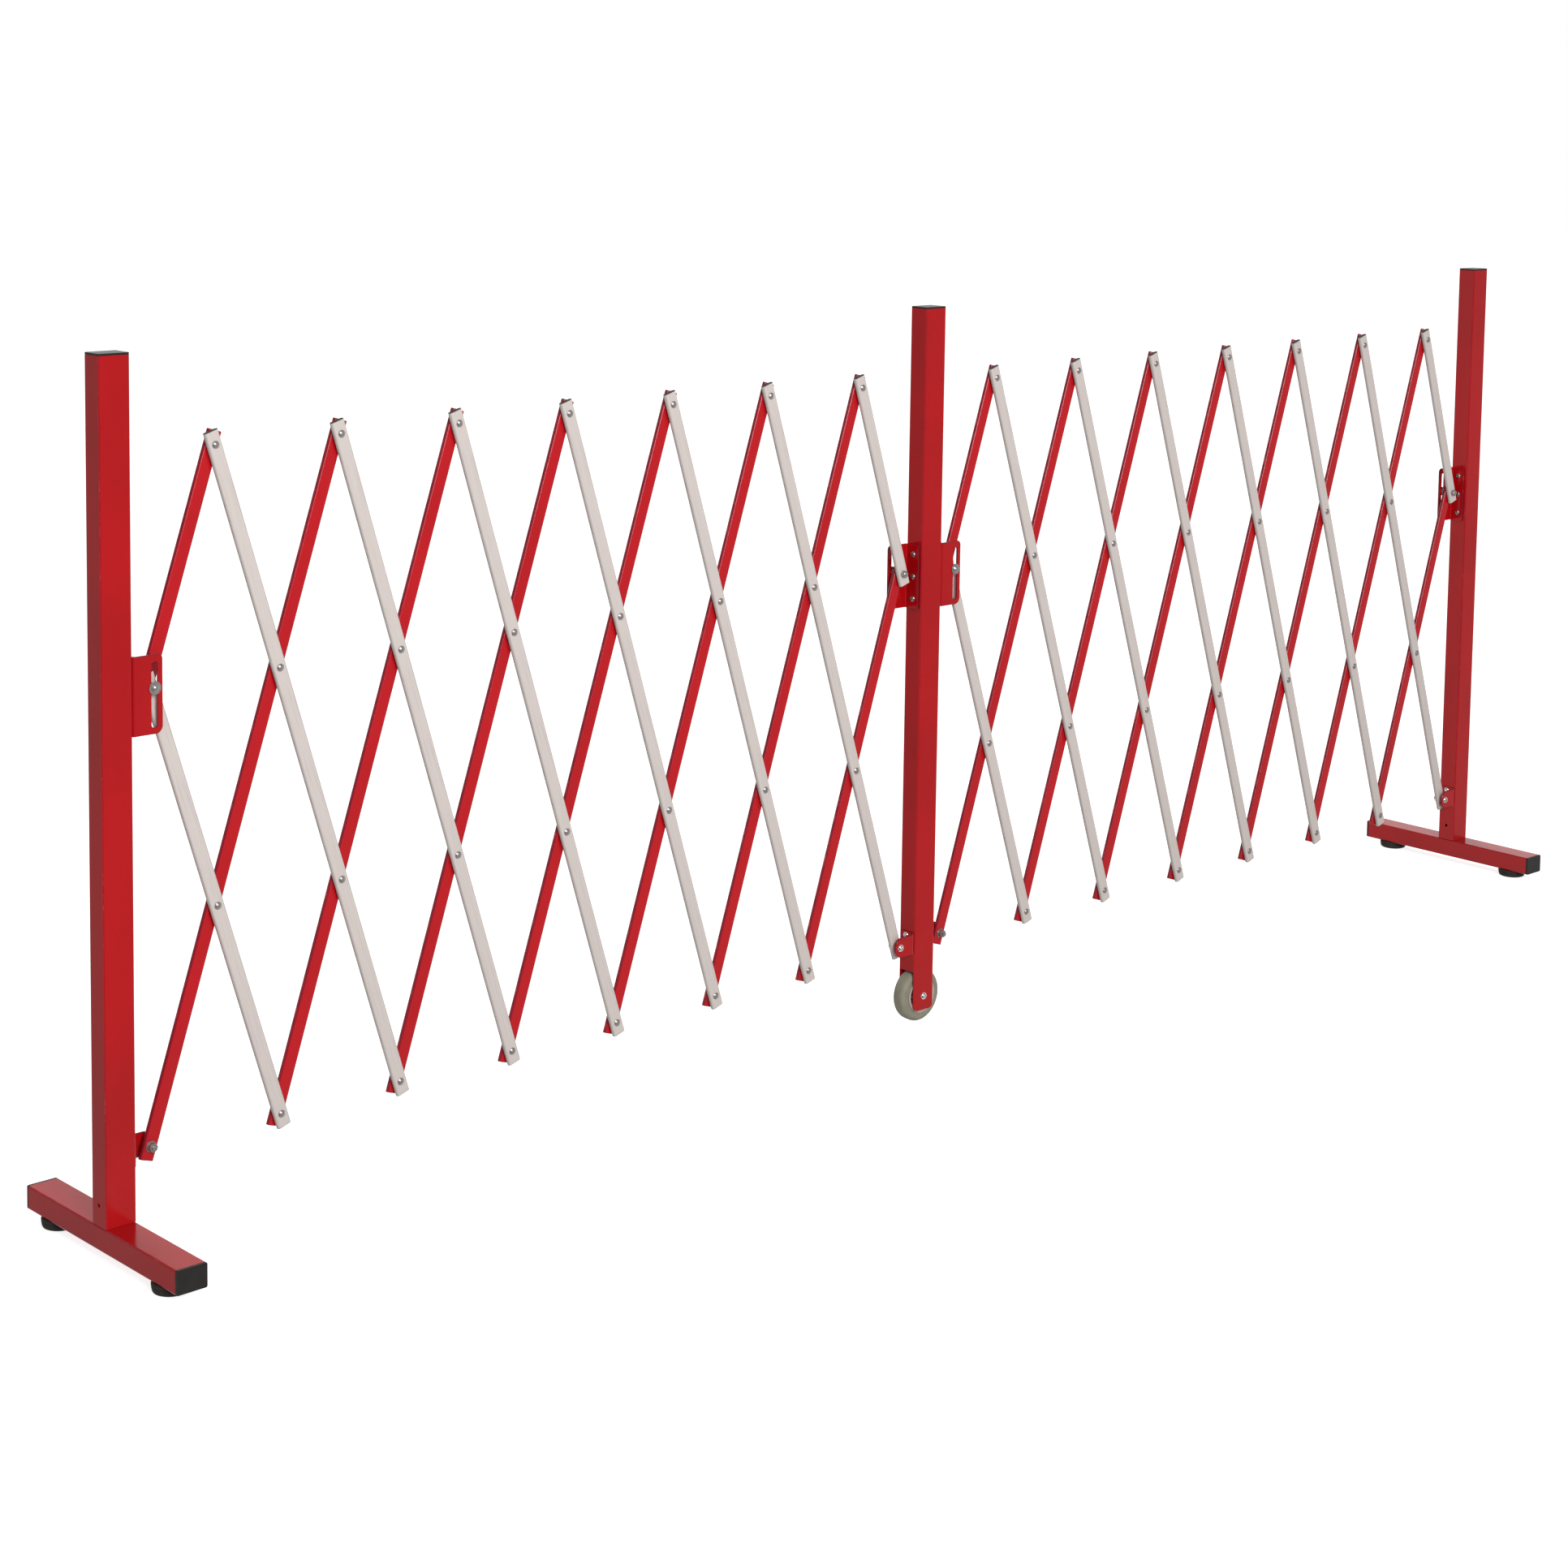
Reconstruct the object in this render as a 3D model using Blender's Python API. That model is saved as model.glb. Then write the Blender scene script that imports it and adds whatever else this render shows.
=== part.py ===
# Expandable safety barrier: two lazy-tong lattices between three posts, at rest about two thirds open.
# X runs along the barrier, -Y is the front, Z is up. The origin is on the floor at the middle of the length.

import math

import bmesh
import bpy
from mathutils import Matrix, Vector

for old in list(bpy.data.objects):
    bpy.data.objects.remove(old, do_unlink=True)

# Overall and lattice sizes, in metres.
totalHeight = 1.0
pivotSpacing = 0.2721
leftPitch = 0.0830
rightPitch = 0.0854
lowerPivotHeight = 0.1136
pivotReach = 0.0275
levelCount = 4
nodeSpan = 14

# Bars: flat-oval section, front layer off-white, back layer red.
barWidth = 0.0185
barThickness = 0.0065
barEndReach = 0.0160
layerGap = 0.0010

# Posts and caps.
postWidth = 0.0380
postDepth = 0.0295
wallThickness = 0.0015
postCorner = 0.0022
middlePostHeight = 0.9940
capRim = 0.0025
capEdgeShare = 0.7
capTopShare = 0.97
capPlugDepth = 0.0120
contactGap = 0.0003
drainHoleRadius = 0.0025
drainHoleHeight = 0.0630

# Feet.
footLength = 0.3200
footTop = 0.0390
footBarHeight = 0.0276
footCapRim = 0.0035
padRadius = 0.0220
padInset = 0.0420
padBevel = 0.0025

# Fork and wheel of the middle post.
forkTabBottom = 0.0175
sideWallBottom = 0.0730
tabCorner = 0.0080
cornerLip = 0.0003
wheelRadius = 0.0370
tyreWidth = 0.0220
tyreShoulder = 0.0045
shoulderSideShare = 0.4
shoulderDropShare = 0.6
treadEdgeShare = 1.4
hubRadius = 0.0215
hubWidth = 0.0240
hubRecess = 0.0030
hubCollarRadius = 0.0090
hubRimInnerShare = 0.80
hubRimOuterShare = 0.86
hubFlangeRadius = 0.0248
hubFlangeThickness = 0.0006
axleRadius = 0.0040
axleClearance = 0.0005

# Brackets. The slots stand this far above the lower pivots.
sheetThickness = 0.0025
bracketReach = 0.0375
slotBottomRise = 0.4744
slotTravel = 0.0728
slotMarginBelow = 0.0070
slotMarginAbove = 0.0082
slotWidth = 0.0080
slotPlateCorner = 0.0080
screwSpacing = 0.0305
earHalfHeight = 0.0140
earCorner = 0.0125
earFlangeTop = 0.0155
earScrewUpper = 0.0105
earScrewLower = 0.0065
flangeDepth = 0.0245

# Fasteners.
rivetRadius = 0.0025
rivetHeadRadius = 0.0045
rivetDome = 0.0024
rivetBack = 0.0015
pinRadius = 0.0030
pinHeadRadius = 0.0052
pinDome = 0.0030
washerRadius = 0.0075
washerThickness = 0.0012
nutRadius = 0.0056
nutHeight = 0.0060
nutEdgeShare = 0.8
nutTopShare = 0.7
holeClearance = 0.0006
screwHeadRadius = 0.0042
screwHeadHeight = 0.0022
domeTopShare = 0.42
domeShoulderShare = 0.84
domeRiseShare = 0.55

# How finely round things are cut.
fastenerSides = 8
padSides = 20
wheelSides = 28
barRoundSteps = 3

leftRise = math.sqrt(pivotSpacing**2 - leftPitch**2)
rightRise = math.sqrt(pivotSpacing**2 - rightPitch**2)
leftAngle = math.atan2(leftPitch, leftRise)
rightAngle = math.atan2(rightPitch, rightRise)
leftSpan = nodeSpan * leftPitch
rightSpan = nodeSpan * rightPitch
halfPost = postWidth / 2
halfDepth = postDepth / 2
leftPostX = -(leftSpan + rightSpan) / 2 - 2 * pivotReach - postWidth
rightPostX = -leftPostX
middlePostX = leftPostX + leftSpan + 2 * pivotReach + postWidth
leftLatticeX = leftPostX + halfPost + pivotReach
rightLatticeX = middlePostX + halfPost + pivotReach
frontFace = -layerGap / 2 - barThickness
backFace = layerGap / 2 + barThickness


def makeMaterial(name, colour, roughness, metallic=0.0):
    material = bpy.data.materials.new(name)
    material.use_nodes = True
    surface = material.node_tree.nodes["Principled BSDF"]
    surface.inputs["Base Color"].default_value = (*colour, 1.0)
    surface.inputs["Roughness"].default_value = roughness
    surface.inputs["Metallic"].default_value = metallic
    material.diffuse_color = (*colour, 1.0)
    return material


redPaint = makeMaterial("red_paint", (0.52, 0.02, 0.02), 0.35)
creamPaint = makeMaterial("cream_paint", (0.68, 0.60, 0.57), 0.40)
blackPlastic = makeMaterial("black_plastic", (0.02, 0.018, 0.017), 0.50)
blackRubber = makeMaterial("black_rubber", (0.015, 0.015, 0.015), 0.80)
tyreRubber = makeMaterial("tyre_rubber", (0.24, 0.23, 0.17), 0.75)
hubPlastic = makeMaterial("hub_plastic", (0.52, 0.44, 0.39), 0.55)
brightSteel = makeMaterial("bright_steel", (0.62, 0.60, 0.58), 0.28, 1.0)


def newObject(name, mesh, material=None, parent=None):
    item = bpy.data.objects.new(name, mesh)
    bpy.context.scene.collection.objects.link(item)
    if material is not None:
        mesh.materials.clear()
        mesh.materials.append(material)
    item.parent = parent
    return item


def meshFrom(bm, name):
    bmesh.ops.recalc_face_normals(bm, faces=bm.faces)
    mesh = bpy.data.meshes.new(name)
    bm.to_mesh(mesh)
    bm.free()
    return mesh


def loft(bm, rings):
    """Closes a stack of equal rings of points into one skin, with a face over each end."""
    rows = [[bm.verts.new(point) for point in ring] for ring in rings]
    for lower, upper in zip(rows, rows[1:]):
        for i in range(len(lower)):
            j = (i + 1) % len(lower)
            bm.faces.new((lower[i], lower[j], upper[j], upper[i]))
    bm.faces.new(rows[0][::-1])
    bm.faces.new(rows[-1])


def turned(bm, profile, sides, centre=Vector()):
    """Turns (distance along Y, radius) pairs about the Y axis through the centre."""
    steps = [2 * math.pi * (k + 0.5) / sides for k in range(sides)]
    loft(
        bm,
        [
            [centre + Vector((r * math.cos(a), y, r * math.sin(a))) for a in steps]
            for y, r in profile
        ],
    )


def domed(base, radius, rise):
    """The (distance, radius) pairs of a domed head standing from base towards rise's sign."""
    return [
        (base, radius),
        (base + rise * domeRiseShare, radius * domeShoulderShare),
        (base + rise, radius * domeTopShare),
    ]


def chamferedBox(width, depth, corner):
    """An eight-cornered outline in X and Y, anticlockwise."""
    x, y, c = width / 2, depth / 2, corner
    return [
        (x, -y + c), (x, y - c), (x - c, y), (-x + c, y),
        (-x, y - c), (-x, -y + c), (-x + c, -y), (x - c, -y),
    ]


def stadium(width, thickness):
    """A flat-oval outline in X and Y: straight faces with half-round edges."""
    radius = thickness / 2
    points = []
    for side in (1, -1):
        for k in range(barRoundSteps + 1):
            a = -math.pi / 2 + math.pi * k / barRoundSteps
            points.append(
                (side * (width / 2 - radius + radius * math.cos(a)), side * radius * math.sin(a))
            )
    return points


def roundedPlate(reach, low, high, corner):
    """An outline in X and Z whose two outer corners are rounded; the inner edge is at X = contactGap."""
    points = [(contactGap, low)]
    for centreZ, start in ((low + corner, -math.pi / 2), (high - corner, 0.0)):
        for k in range(5):
            a = start + math.pi / 2 * k / 4
            points.append((reach - corner + corner * math.cos(a), centreZ + corner * math.sin(a)))
    points.append((contactGap, high))
    return points


def extrudeY(bm, outline, start, end):
    loft(bm, [[(x, y, z) for x, z in outline] for y in (start, end)])


def box(bm, low, high):
    loft(
        bm,
        [
            [(low[0], low[1], z), (high[0], low[1], z), (high[0], high[1], z), (low[0], high[1], z)]
            for z in (low[2], high[2])
        ],
    )


def combined(name, base, cuts=(), joins=()):
    """Applies exact Boolean cuts, then joins, to a mesh and returns the result as a new mesh."""
    work = newObject(name + "_work", base)
    helpers = []
    for operation, others in (("DIFFERENCE", cuts), ("UNION", joins)):
        for k, other in enumerate(others):
            helper = newObject(f"{name}_{operation.lower()}_{k}", other)
            helper.hide_render = True
            helper.display_type = "WIRE"
            helpers.append(helper)
            step = work.modifiers.new(helper.name, "BOOLEAN")
            step.operation = operation
            step.solver = "EXACT"
            step.object = helper
    bpy.context.view_layer.update()
    graph = bpy.context.evaluated_depsgraph_get()
    mesh = bpy.data.meshes.new_from_object(work.evaluated_get(graph))
    mesh.name = name
    for item in [work, *helpers]:
        bpy.data.objects.remove(item, do_unlink=True)
    return mesh


def smooth(mesh):
    mesh.shade_smooth()
    mesh.set_sharp_from_angle(angle=math.radians(40))
    return mesh


def frameAt(name, x):
    empty = bpy.data.objects.new(name, None)
    bpy.context.scene.collection.objects.link(empty)
    empty.location = (x, 0.0, 0.0)
    return empty


leftFrame = frameAt("left_end_frame", leftPostX)
middleFrame = frameAt("middle_frame", middlePostX)
rightFrame = frameAt("right_end_frame", rightPostX)


# Posts, caps and feet of the two ends. The rectangular tubes are open at both ends under their caps.
def tube(name, outer, inner, start, end, along):
    """A hollow tube between two eight-cornered outlines, laid along Z or Y."""
    bm = bmesh.new()
    place = (lambda x, y, t: (x, y, t)) if along == "Z" else (lambda x, y, t: (x, t, y))
    rings = [[bm.verts.new(place(x, y, t)) for x, y in line] for line, t in
             ((outer, start), (outer, end), (inner, end), (inner, start))]
    for ring, following in zip(rings, rings[1:] + rings[:1]):
        for i in range(len(ring)):
            j = (i + 1) % len(ring)
            bm.faces.new((ring[i], ring[j], following[j], following[i]))
    return meshFrom(bm, name)


postOuter = chamferedBox(postWidth, postDepth, postCorner)
postInner = chamferedBox(
    postWidth - 2 * wallThickness, postDepth - 2 * wallThickness, postCorner - wallThickness / 2
)
plugOutline = chamferedBox(
    postWidth - 2 * (wallThickness + contactGap),
    postDepth - 2 * (wallThickness + contactGap),
    postCorner - wallThickness / 2,
)


def capMesh(name, outline, plug, rim, depth):
    """A plug cap: a thin rim the size of the tube over a plug that fits inside it, along Z."""
    bm = bmesh.new()
    loft(
        bm,
        [
            [(x, y, -depth) for x, y in plug],
            [(x, y, contactGap) for x, y in plug],
        ],
    )
    base = meshFrom(bm, name)
    bm = bmesh.new()
    loft(
        bm,
        [
            [(x, y, contactGap / 2) for x, y in outline],
            [(x, y, rim * capEdgeShare) for x, y in outline],
            [(x * capTopShare, y * capTopShare, rim) for x, y in outline],
        ],
    )
    return combined(name, base, joins=[meshFrom(bm, name + "_rim")])


endPostTop = totalHeight - capRim
drainCut = bmesh.new()
turned(drainCut, [(-halfPost - wallThickness, drainHoleRadius), (-halfPost + 2 * wallThickness, drainHoleRadius)],
       fastenerSides)
bmesh.ops.rotate(drainCut, verts=drainCut.verts, cent=(0, 0, 0), matrix=Matrix.Rotation(-math.pi / 2, 3, "Z"))
bmesh.ops.translate(drainCut, verts=drainCut.verts, vec=(0, 0, drainHoleHeight))
endPostMesh = combined(
    "end_post",
    tube("end_post_tube", postOuter, postInner, footTop + contactGap, endPostTop, "Z"),
    cuts=[meshFrom(drainCut, "drain_hole")],
)
postCapMesh = capMesh("post_cap", postOuter, plugOutline, capRim, capPlugDepth)

footBottom = footTop - footBarHeight
footOuter = chamferedBox(postWidth, footBarHeight, postCorner)
footInner = chamferedBox(
    postWidth - 2 * wallThickness, footBarHeight - 2 * wallThickness, postCorner - wallThickness / 2
)
footPlug = chamferedBox(
    postWidth - 2 * (wallThickness + contactGap),
    footBarHeight - 2 * (wallThickness + contactGap),
    postCorner - wallThickness / 2,
)
footTubeHalf = footLength / 2 - footCapRim
footTubeMesh = tube("foot_bar", footOuter, footInner, -footTubeHalf, footTubeHalf, "Y")
footCapMesh = capMesh("foot_cap", footOuter, footPlug, footCapRim, capPlugDepth)

padBody = bmesh.new()
turned(
    padBody,
    [(0.0, padRadius - padBevel), (padBevel, padRadius),
     (footBottom - contactGap - padBevel / 2, padRadius), (footBottom - contactGap, padRadius - padBevel / 2)],
    padSides,
)
bmesh.ops.rotate(padBody, verts=padBody.verts, cent=(0, 0, 0), matrix=Matrix.Rotation(math.pi / 2, 3, "X"))
padMesh = smooth(meshFrom(padBody, "foot_pad"))

for side, frame in (("left", leftFrame), ("right", rightFrame)):
    newObject(f"{side}_post", endPostMesh, redPaint, frame)
    cap = newObject(f"{side}_post_cap", postCapMesh, blackPlastic, frame)
    cap.location.z = endPostTop
    foot = newObject(f"{side}_foot_bar", footTubeMesh, redPaint, frame)
    foot.location.z = (footTop + footBottom) / 2
    for place, sign in (("front", -1), ("back", 1)):
        footCap = newObject(f"{side}_foot_cap_{place}", footCapMesh, blackPlastic, foot)
        footCap.location.y = sign * footTubeHalf
        footCap.rotation_euler = (-sign * math.pi / 2, 0.0, 0.0)
        pad = newObject(f"{side}_foot_pad_{place}", padMesh, blackRubber, frame)
        pad.location.y = sign * (footLength / 2 - padInset)


# Middle post: its side walls stop above the wheel, and its front and back walls hang down as fork tabs.
middlePostTop = middlePostHeight - capRim
innerHalfDepth = halfDepth - wallThickness
sideCut = bmesh.new()
box(sideCut, (-postWidth, -innerHalfDepth + cornerLip, forkTabBottom - wheelRadius),
    (postWidth, innerHalfDepth - cornerLip, sideWallBottom))
cornerCut = bmesh.new()
for sign in (-1, 1):
    outline = [(sign * (halfPost + tabCorner), forkTabBottom - tabCorner),
               (sign * (halfPost + tabCorner), forkTabBottom + tabCorner)]
    for k in range(5):
        a = math.pi / 2 * k / 4
        outline.append((sign * (halfPost - tabCorner + tabCorner * math.cos(a)),
                        forkTabBottom + tabCorner - tabCorner * math.sin(a)))
    outline.append((sign * (halfPost - tabCorner), forkTabBottom - tabCorner))
    extrudeY(cornerCut, outline, -postDepth, postDepth)
axleCut = bmesh.new()
turned(axleCut, [(-postDepth, axleRadius + axleClearance), (postDepth, axleRadius + axleClearance)],
       2 * fastenerSides, Vector((0.0, 0.0, wheelRadius)))
middlePostMesh = combined(
    "middle_post",
    tube("middle_tube", postOuter, postInner, forkTabBottom, middlePostTop, "Z"),
    cuts=[meshFrom(sideCut, "side_cut"), meshFrom(cornerCut, "corner_cut"), meshFrom(axleCut, "axle_cut")],
)
newObject("middle_post", middlePostMesh, redPaint, middleFrame)
middleCap = newObject("middle_post_cap", postCapMesh.copy(), blackPlastic, middleFrame)
middleCap.location.z = middlePostTop


# Wheel: a tyre with worn-round shoulders between the two flanges of a hub whose bore runs on the axle bolt.
def ringOf(name, profile, sides):
    """Turns a closed ring of (distance along Y, radius) pairs about the Y axis."""
    bm = bmesh.new()
    rows = []
    for k in range(sides):
        a = 2 * math.pi * k / sides
        rows.append([bm.verts.new((r * math.cos(a), y, r * math.sin(a))) for y, r in profile])
    for row, following in zip(rows, rows[1:] + rows[:1]):
        for i in range(len(row)):
            j = (i + 1) % len(row)
            bm.faces.new((row[i], row[j], following[j], following[i]))
    return smooth(meshFrom(bm, name))


halfTyre = tyreWidth / 2
halfHub = hubWidth / 2
flangeSeat = halfTyre + contactGap
flangeFace = flangeSeat + hubFlangeThickness
boreRadius = axleRadius + axleClearance
tyreMesh = ringOf(
    "tyre",
    [
        (-halfTyre, hubRadius + contactGap), (-halfTyre, wheelRadius - 2 * tyreShoulder),
        (-halfTyre + tyreShoulder * shoulderSideShare, wheelRadius - tyreShoulder * shoulderDropShare),
        (-halfTyre + tyreShoulder * treadEdgeShare, wheelRadius),
        (halfTyre - tyreShoulder * treadEdgeShare, wheelRadius),
        (halfTyre - tyreShoulder * shoulderSideShare, wheelRadius - tyreShoulder * shoulderDropShare),
        (halfTyre, wheelRadius - 2 * tyreShoulder), (halfTyre, hubRadius + contactGap),
    ],
    wheelSides,
)
hubMesh = ringOf(
    "hub",
    [
        (-halfHub, boreRadius), (-halfHub, hubCollarRadius),
        (-halfTyre + hubRecess, hubCollarRadius), (-halfTyre + hubRecess, hubRadius * hubRimInnerShare),
        (-flangeFace, hubRadius * hubRimOuterShare), (-flangeFace, hubFlangeRadius),
        (-flangeSeat, hubFlangeRadius), (-flangeSeat, hubRadius),
        (flangeSeat, hubRadius), (flangeSeat, hubFlangeRadius),
        (flangeFace, hubFlangeRadius), (flangeFace, hubRadius * hubRimOuterShare),
        (halfTyre - hubRecess, hubRadius * hubRimInnerShare), (halfTyre - hubRecess, hubCollarRadius),
        (halfHub, hubCollarRadius), (halfHub, boreRadius),
    ],
    wheelSides,
)
axleBody = bmesh.new()
headFace = -halfDepth - contactGap
turned(
    axleBody,
    domed(headFace, pinHeadRadius, -pinDome)[::-1]
    + [(headFace, axleRadius), (halfDepth + contactGap, axleRadius),
       (halfDepth + contactGap, nutRadius), (halfDepth + contactGap + nutHeight * nutEdgeShare, nutRadius),
       (halfDepth + contactGap + nutHeight, nutRadius * nutTopShare)],
    2 * fastenerSides,
)
wheelFrame = bpy.data.objects.new("wheel_frame", None)
bpy.context.scene.collection.objects.link(wheelFrame)
wheelFrame.parent = middleFrame
wheelFrame.location.z = wheelRadius
newObject("wheel_tyre", tyreMesh, tyreRubber, wheelFrame)
newObject("wheel_hub", hubMesh, hubPlastic, wheelFrame)
newObject("wheel_axle", smooth(meshFrom(axleBody, "axle")), brightSteel, wheelFrame)


# Brackets: sheet angles whose flange screws to a post's side face and whose plate stands out along X. They
# are drawn for a right-hand face; turned half round about Z the same bracket serves a left-hand face.
def screwHead(bm, height):
    """A screw head on the flange, turned about X."""
    start = len(bm.verts)
    turned(bm, [(-sheetThickness / 2, screwHeadRadius), *domed(0.0, screwHeadRadius, screwHeadHeight)[1:]],
           fastenerSides)
    bm.verts.ensure_lookup_table()
    fresh = bm.verts[start:]
    bmesh.ops.rotate(bm, verts=fresh, cent=(0, 0, 0), matrix=Matrix.Rotation(-math.pi / 2, 3, "Z"))
    bmesh.ops.translate(bm, verts=fresh, vec=(contactGap + sheetThickness, 0, height))


def bracketMesh(name, side, plate, flangeLow, flangeHigh, hole, screws, bolt=None):
    """A bracket whose plate is flush with the front of the post for side -1, with the back for side 1."""
    body = bmesh.new()
    extrudeY(body, plate, side * halfDepth, side * (halfDepth - sheetThickness))
    flange = bmesh.new()
    edges = sorted((side * (halfDepth - sheetThickness / 2), side * (halfDepth - flangeDepth)))
    box(flange, (contactGap, edges[0], flangeLow), (contactGap + sheetThickness, edges[1], flangeHigh))
    heads = bmesh.new()
    for height in screws:
        screwHead(heads, height)
    joins = [meshFrom(flange, name + "_flange"), meshFrom(heads, name + "_screws")]
    cuts = []
    if hole is not None:
        cut = bmesh.new()
        extrudeY(cut, hole, side * postDepth, 0.0)
        cuts.append(meshFrom(cut, name + "_hole"))
    if bolt is not None:
        joins.append(meshFrom(bolt, name + "_bolt"))
    return combined(name, meshFrom(body, name + "_plate"), cuts=cuts, joins=joins)


slotRadius = slotWidth / 2
slotBottom = lowerPivotHeight + slotBottomRise
slotTop = slotBottom + slotTravel
slotPlateBottom = slotBottom - slotMarginBelow
slotPlateTop = slotTop + slotMarginAbove
slotOutline = []
for centreZ, start in ((slotBottom + slotRadius, math.pi), (slotTop - slotRadius, 0.0)):
    for k in range(7):
        a = start + math.pi * k / 6
        slotOutline.append((pivotReach + slotRadius * math.cos(a), centreZ + slotRadius * math.sin(a)))
slotMiddle = (slotPlateBottom + slotPlateTop) / 2
slotBracketMesh = bracketMesh(
    "slot_bracket",
    -1,
    roundedPlate(bracketReach, slotPlateBottom, slotPlateTop, slotPlateCorner),
    slotPlateBottom,
    slotPlateTop,
    slotOutline,
    [slotMiddle - screwSpacing, slotMiddle, slotMiddle + screwSpacing],
)

earPlate = roundedPlate(
    bracketReach, lowerPivotHeight - earHalfHeight, lowerPivotHeight + earHalfHeight, earCorner
)
earScrews = [lowerPivotHeight + earScrewUpper, lowerPivotHeight - earScrewLower]
boltHole = [
    (pivotReach + (pinRadius + holeClearance) * math.cos(2 * math.pi * (k + 0.5) / fastenerSides),
     lowerPivotHeight + (pinRadius + holeClearance) * math.sin(2 * math.pi * (k + 0.5) / fastenerSides))
    for k in range(fastenerSides)
]
earFlange = (lowerPivotHeight - earHalfHeight, lowerPivotHeight + earFlangeTop)
freeEarMesh = bracketMesh("pivot_bracket_free", 1, earPlate, *earFlange, boltHole, earScrews)

# On a left-hand face the bolt's head is on the ear, and the bolt reaches through the front bar's hole to a
# nut behind that bar. It is drawn in the bracket's own frame, before its half turn about Z.
nutFace = layerGap / 2 - contactGap
fixedBolt = bmesh.new()
turned(
    fixedBolt,
    [(nutFace - nutHeight, nutRadius), (nutFace, nutRadius), (nutFace, pinRadius),
     (halfDepth - sheetThickness / 2, pinRadius), (halfDepth - sheetThickness / 2, pinHeadRadius)]
    + domed(halfDepth, pinHeadRadius, pinDome)[1:],
    fastenerSides,
    Vector((pivotReach, 0.0, lowerPivotHeight)),
)
fixedEarMesh = bracketMesh("pivot_bracket_fixed", 1, earPlate, *earFlange, None, earScrews, fixedBolt)

for name, mesh, frame, leftHand in (
    ("left_slot_bracket", slotBracketMesh, leftFrame, False),
    ("left_pivot_bracket", freeEarMesh, leftFrame, False),
    ("middle_slot_bracket_left", slotBracketMesh, middleFrame, True),
    ("middle_pivot_bracket_left", fixedEarMesh, middleFrame, True),
    ("middle_slot_bracket_right", slotBracketMesh, middleFrame, False),
    ("middle_pivot_bracket_right", freeEarMesh, middleFrame, False),
    ("right_slot_bracket", slotBracketMesh, rightFrame, True),
    ("right_pivot_bracket", fixedEarMesh, rightFrame, True),
):
    bracket = newObject(name, mesh, redPaint, frame)
    bracket.location.x = -halfPost if leftHand else halfPost
    bracket.rotation_euler.z = math.pi if leftHand else 0.0


# Bars. Along a bar the pivots are one spacing apart; pivot m of every bar is on level m of the lattice.
# Red back bar k starts at node 2(k - 1) on level 0 and climbs to the right; front bar k starts at node
# 2(k + 1) and climbs to the left. Pivots that fall outside the lattice are left off, which makes the
# short bars at its ends. Every rivet is fixed in its back bar and turns in a hole of the front bar.
embed = contactGap
rivetTail = [(backFace + rivetBack, rivetHeadRadius * domeShoulderShare), (backFace - embed, rivetHeadRadius)]
frontSeat = frontFace - contactGap
plateInside = halfDepth - sheetThickness - contactGap
plateOutside = halfDepth + contactGap
washerFace = plateOutside + washerThickness
spacerRadius = pinHeadRadius
rivetProfile = [
    *rivetTail, (backFace - embed, rivetRadius), (frontSeat, rivetRadius),
    *domed(frontSeat, rivetHeadRadius, -rivetDome),
]
frontPinProfile = [
    *rivetTail, (backFace - embed, pinRadius), (frontSeat, pinRadius), (frontSeat, spacerRadius),
    (-plateInside, spacerRadius), (-plateInside, pinRadius), (-plateOutside, pinRadius),
    (-plateOutside, washerRadius), (-washerFace, washerRadius), *domed(-washerFace, pinHeadRadius, -pinDome),
]
backPinProfile = [
    *domed(washerFace, pinHeadRadius, pinDome)[::-1], (washerFace, washerRadius), (plateOutside, washerRadius),
    (plateOutside, pinRadius), (plateInside, pinRadius), (plateInside, spacerRadius),
    (backFace - embed, spacerRadius), (backFace - embed, pinRadius), (frontSeat, pinRadius),
    *domed(frontSeat, nutRadius, -nutHeight),
]
footBoltProfile = [
    *domed(plateOutside, pinHeadRadius, pinDome)[::-1], (plateOutside, pinRadius), (plateInside, pinRadius),
    (plateInside, spacerRadius), (backFace - embed, spacerRadius), (backFace - embed, pinRadius),
    (layerGap / 2 + embed, pinRadius), (layerGap / 2 + embed, washerRadius),
    (layerGap / 2 - washerThickness, washerRadius), (layerGap / 2 - washerThickness, nutRadius),
    (layerGap / 2 - washerThickness - nutHeight, nutRadius),
    (layerGap / 2 - washerThickness - nutHeight, pinRadius),
    (layerGap / 2 - washerThickness - nutHeight - rivetDome, pinRadius),
]
jointLevels = {
    ("left", "back"): (2, 1, 3, 2, 1, 3, 2, 1),
    ("left", "front"): (0, 1, 2, 0, 1, 2, 0, 2),
    ("right", "back"): (2, 0, 2, 1, 0, 2, 1, 0),
    ("right", "front"): (1, 2, 3, 1, 2, 3, 1, 2),
}
barMeshes = {}


def nodeOf(layer, k, level):
    """How many pitches from the lattice's left edge this bar's pivot on a level lies."""
    return 2 * (k - 1) + level if layer == "back" else 2 * (k + 1) - level


def fastenerOf(k, level):
    if (k, level) == (0, 2):
        return frontPinProfile
    if (k, level) == (1, 0):
        return footBoltProfile
    if (k, level) == (levelCount + 3, 2):
        return backPinProfile
    return rivetProfile


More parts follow.
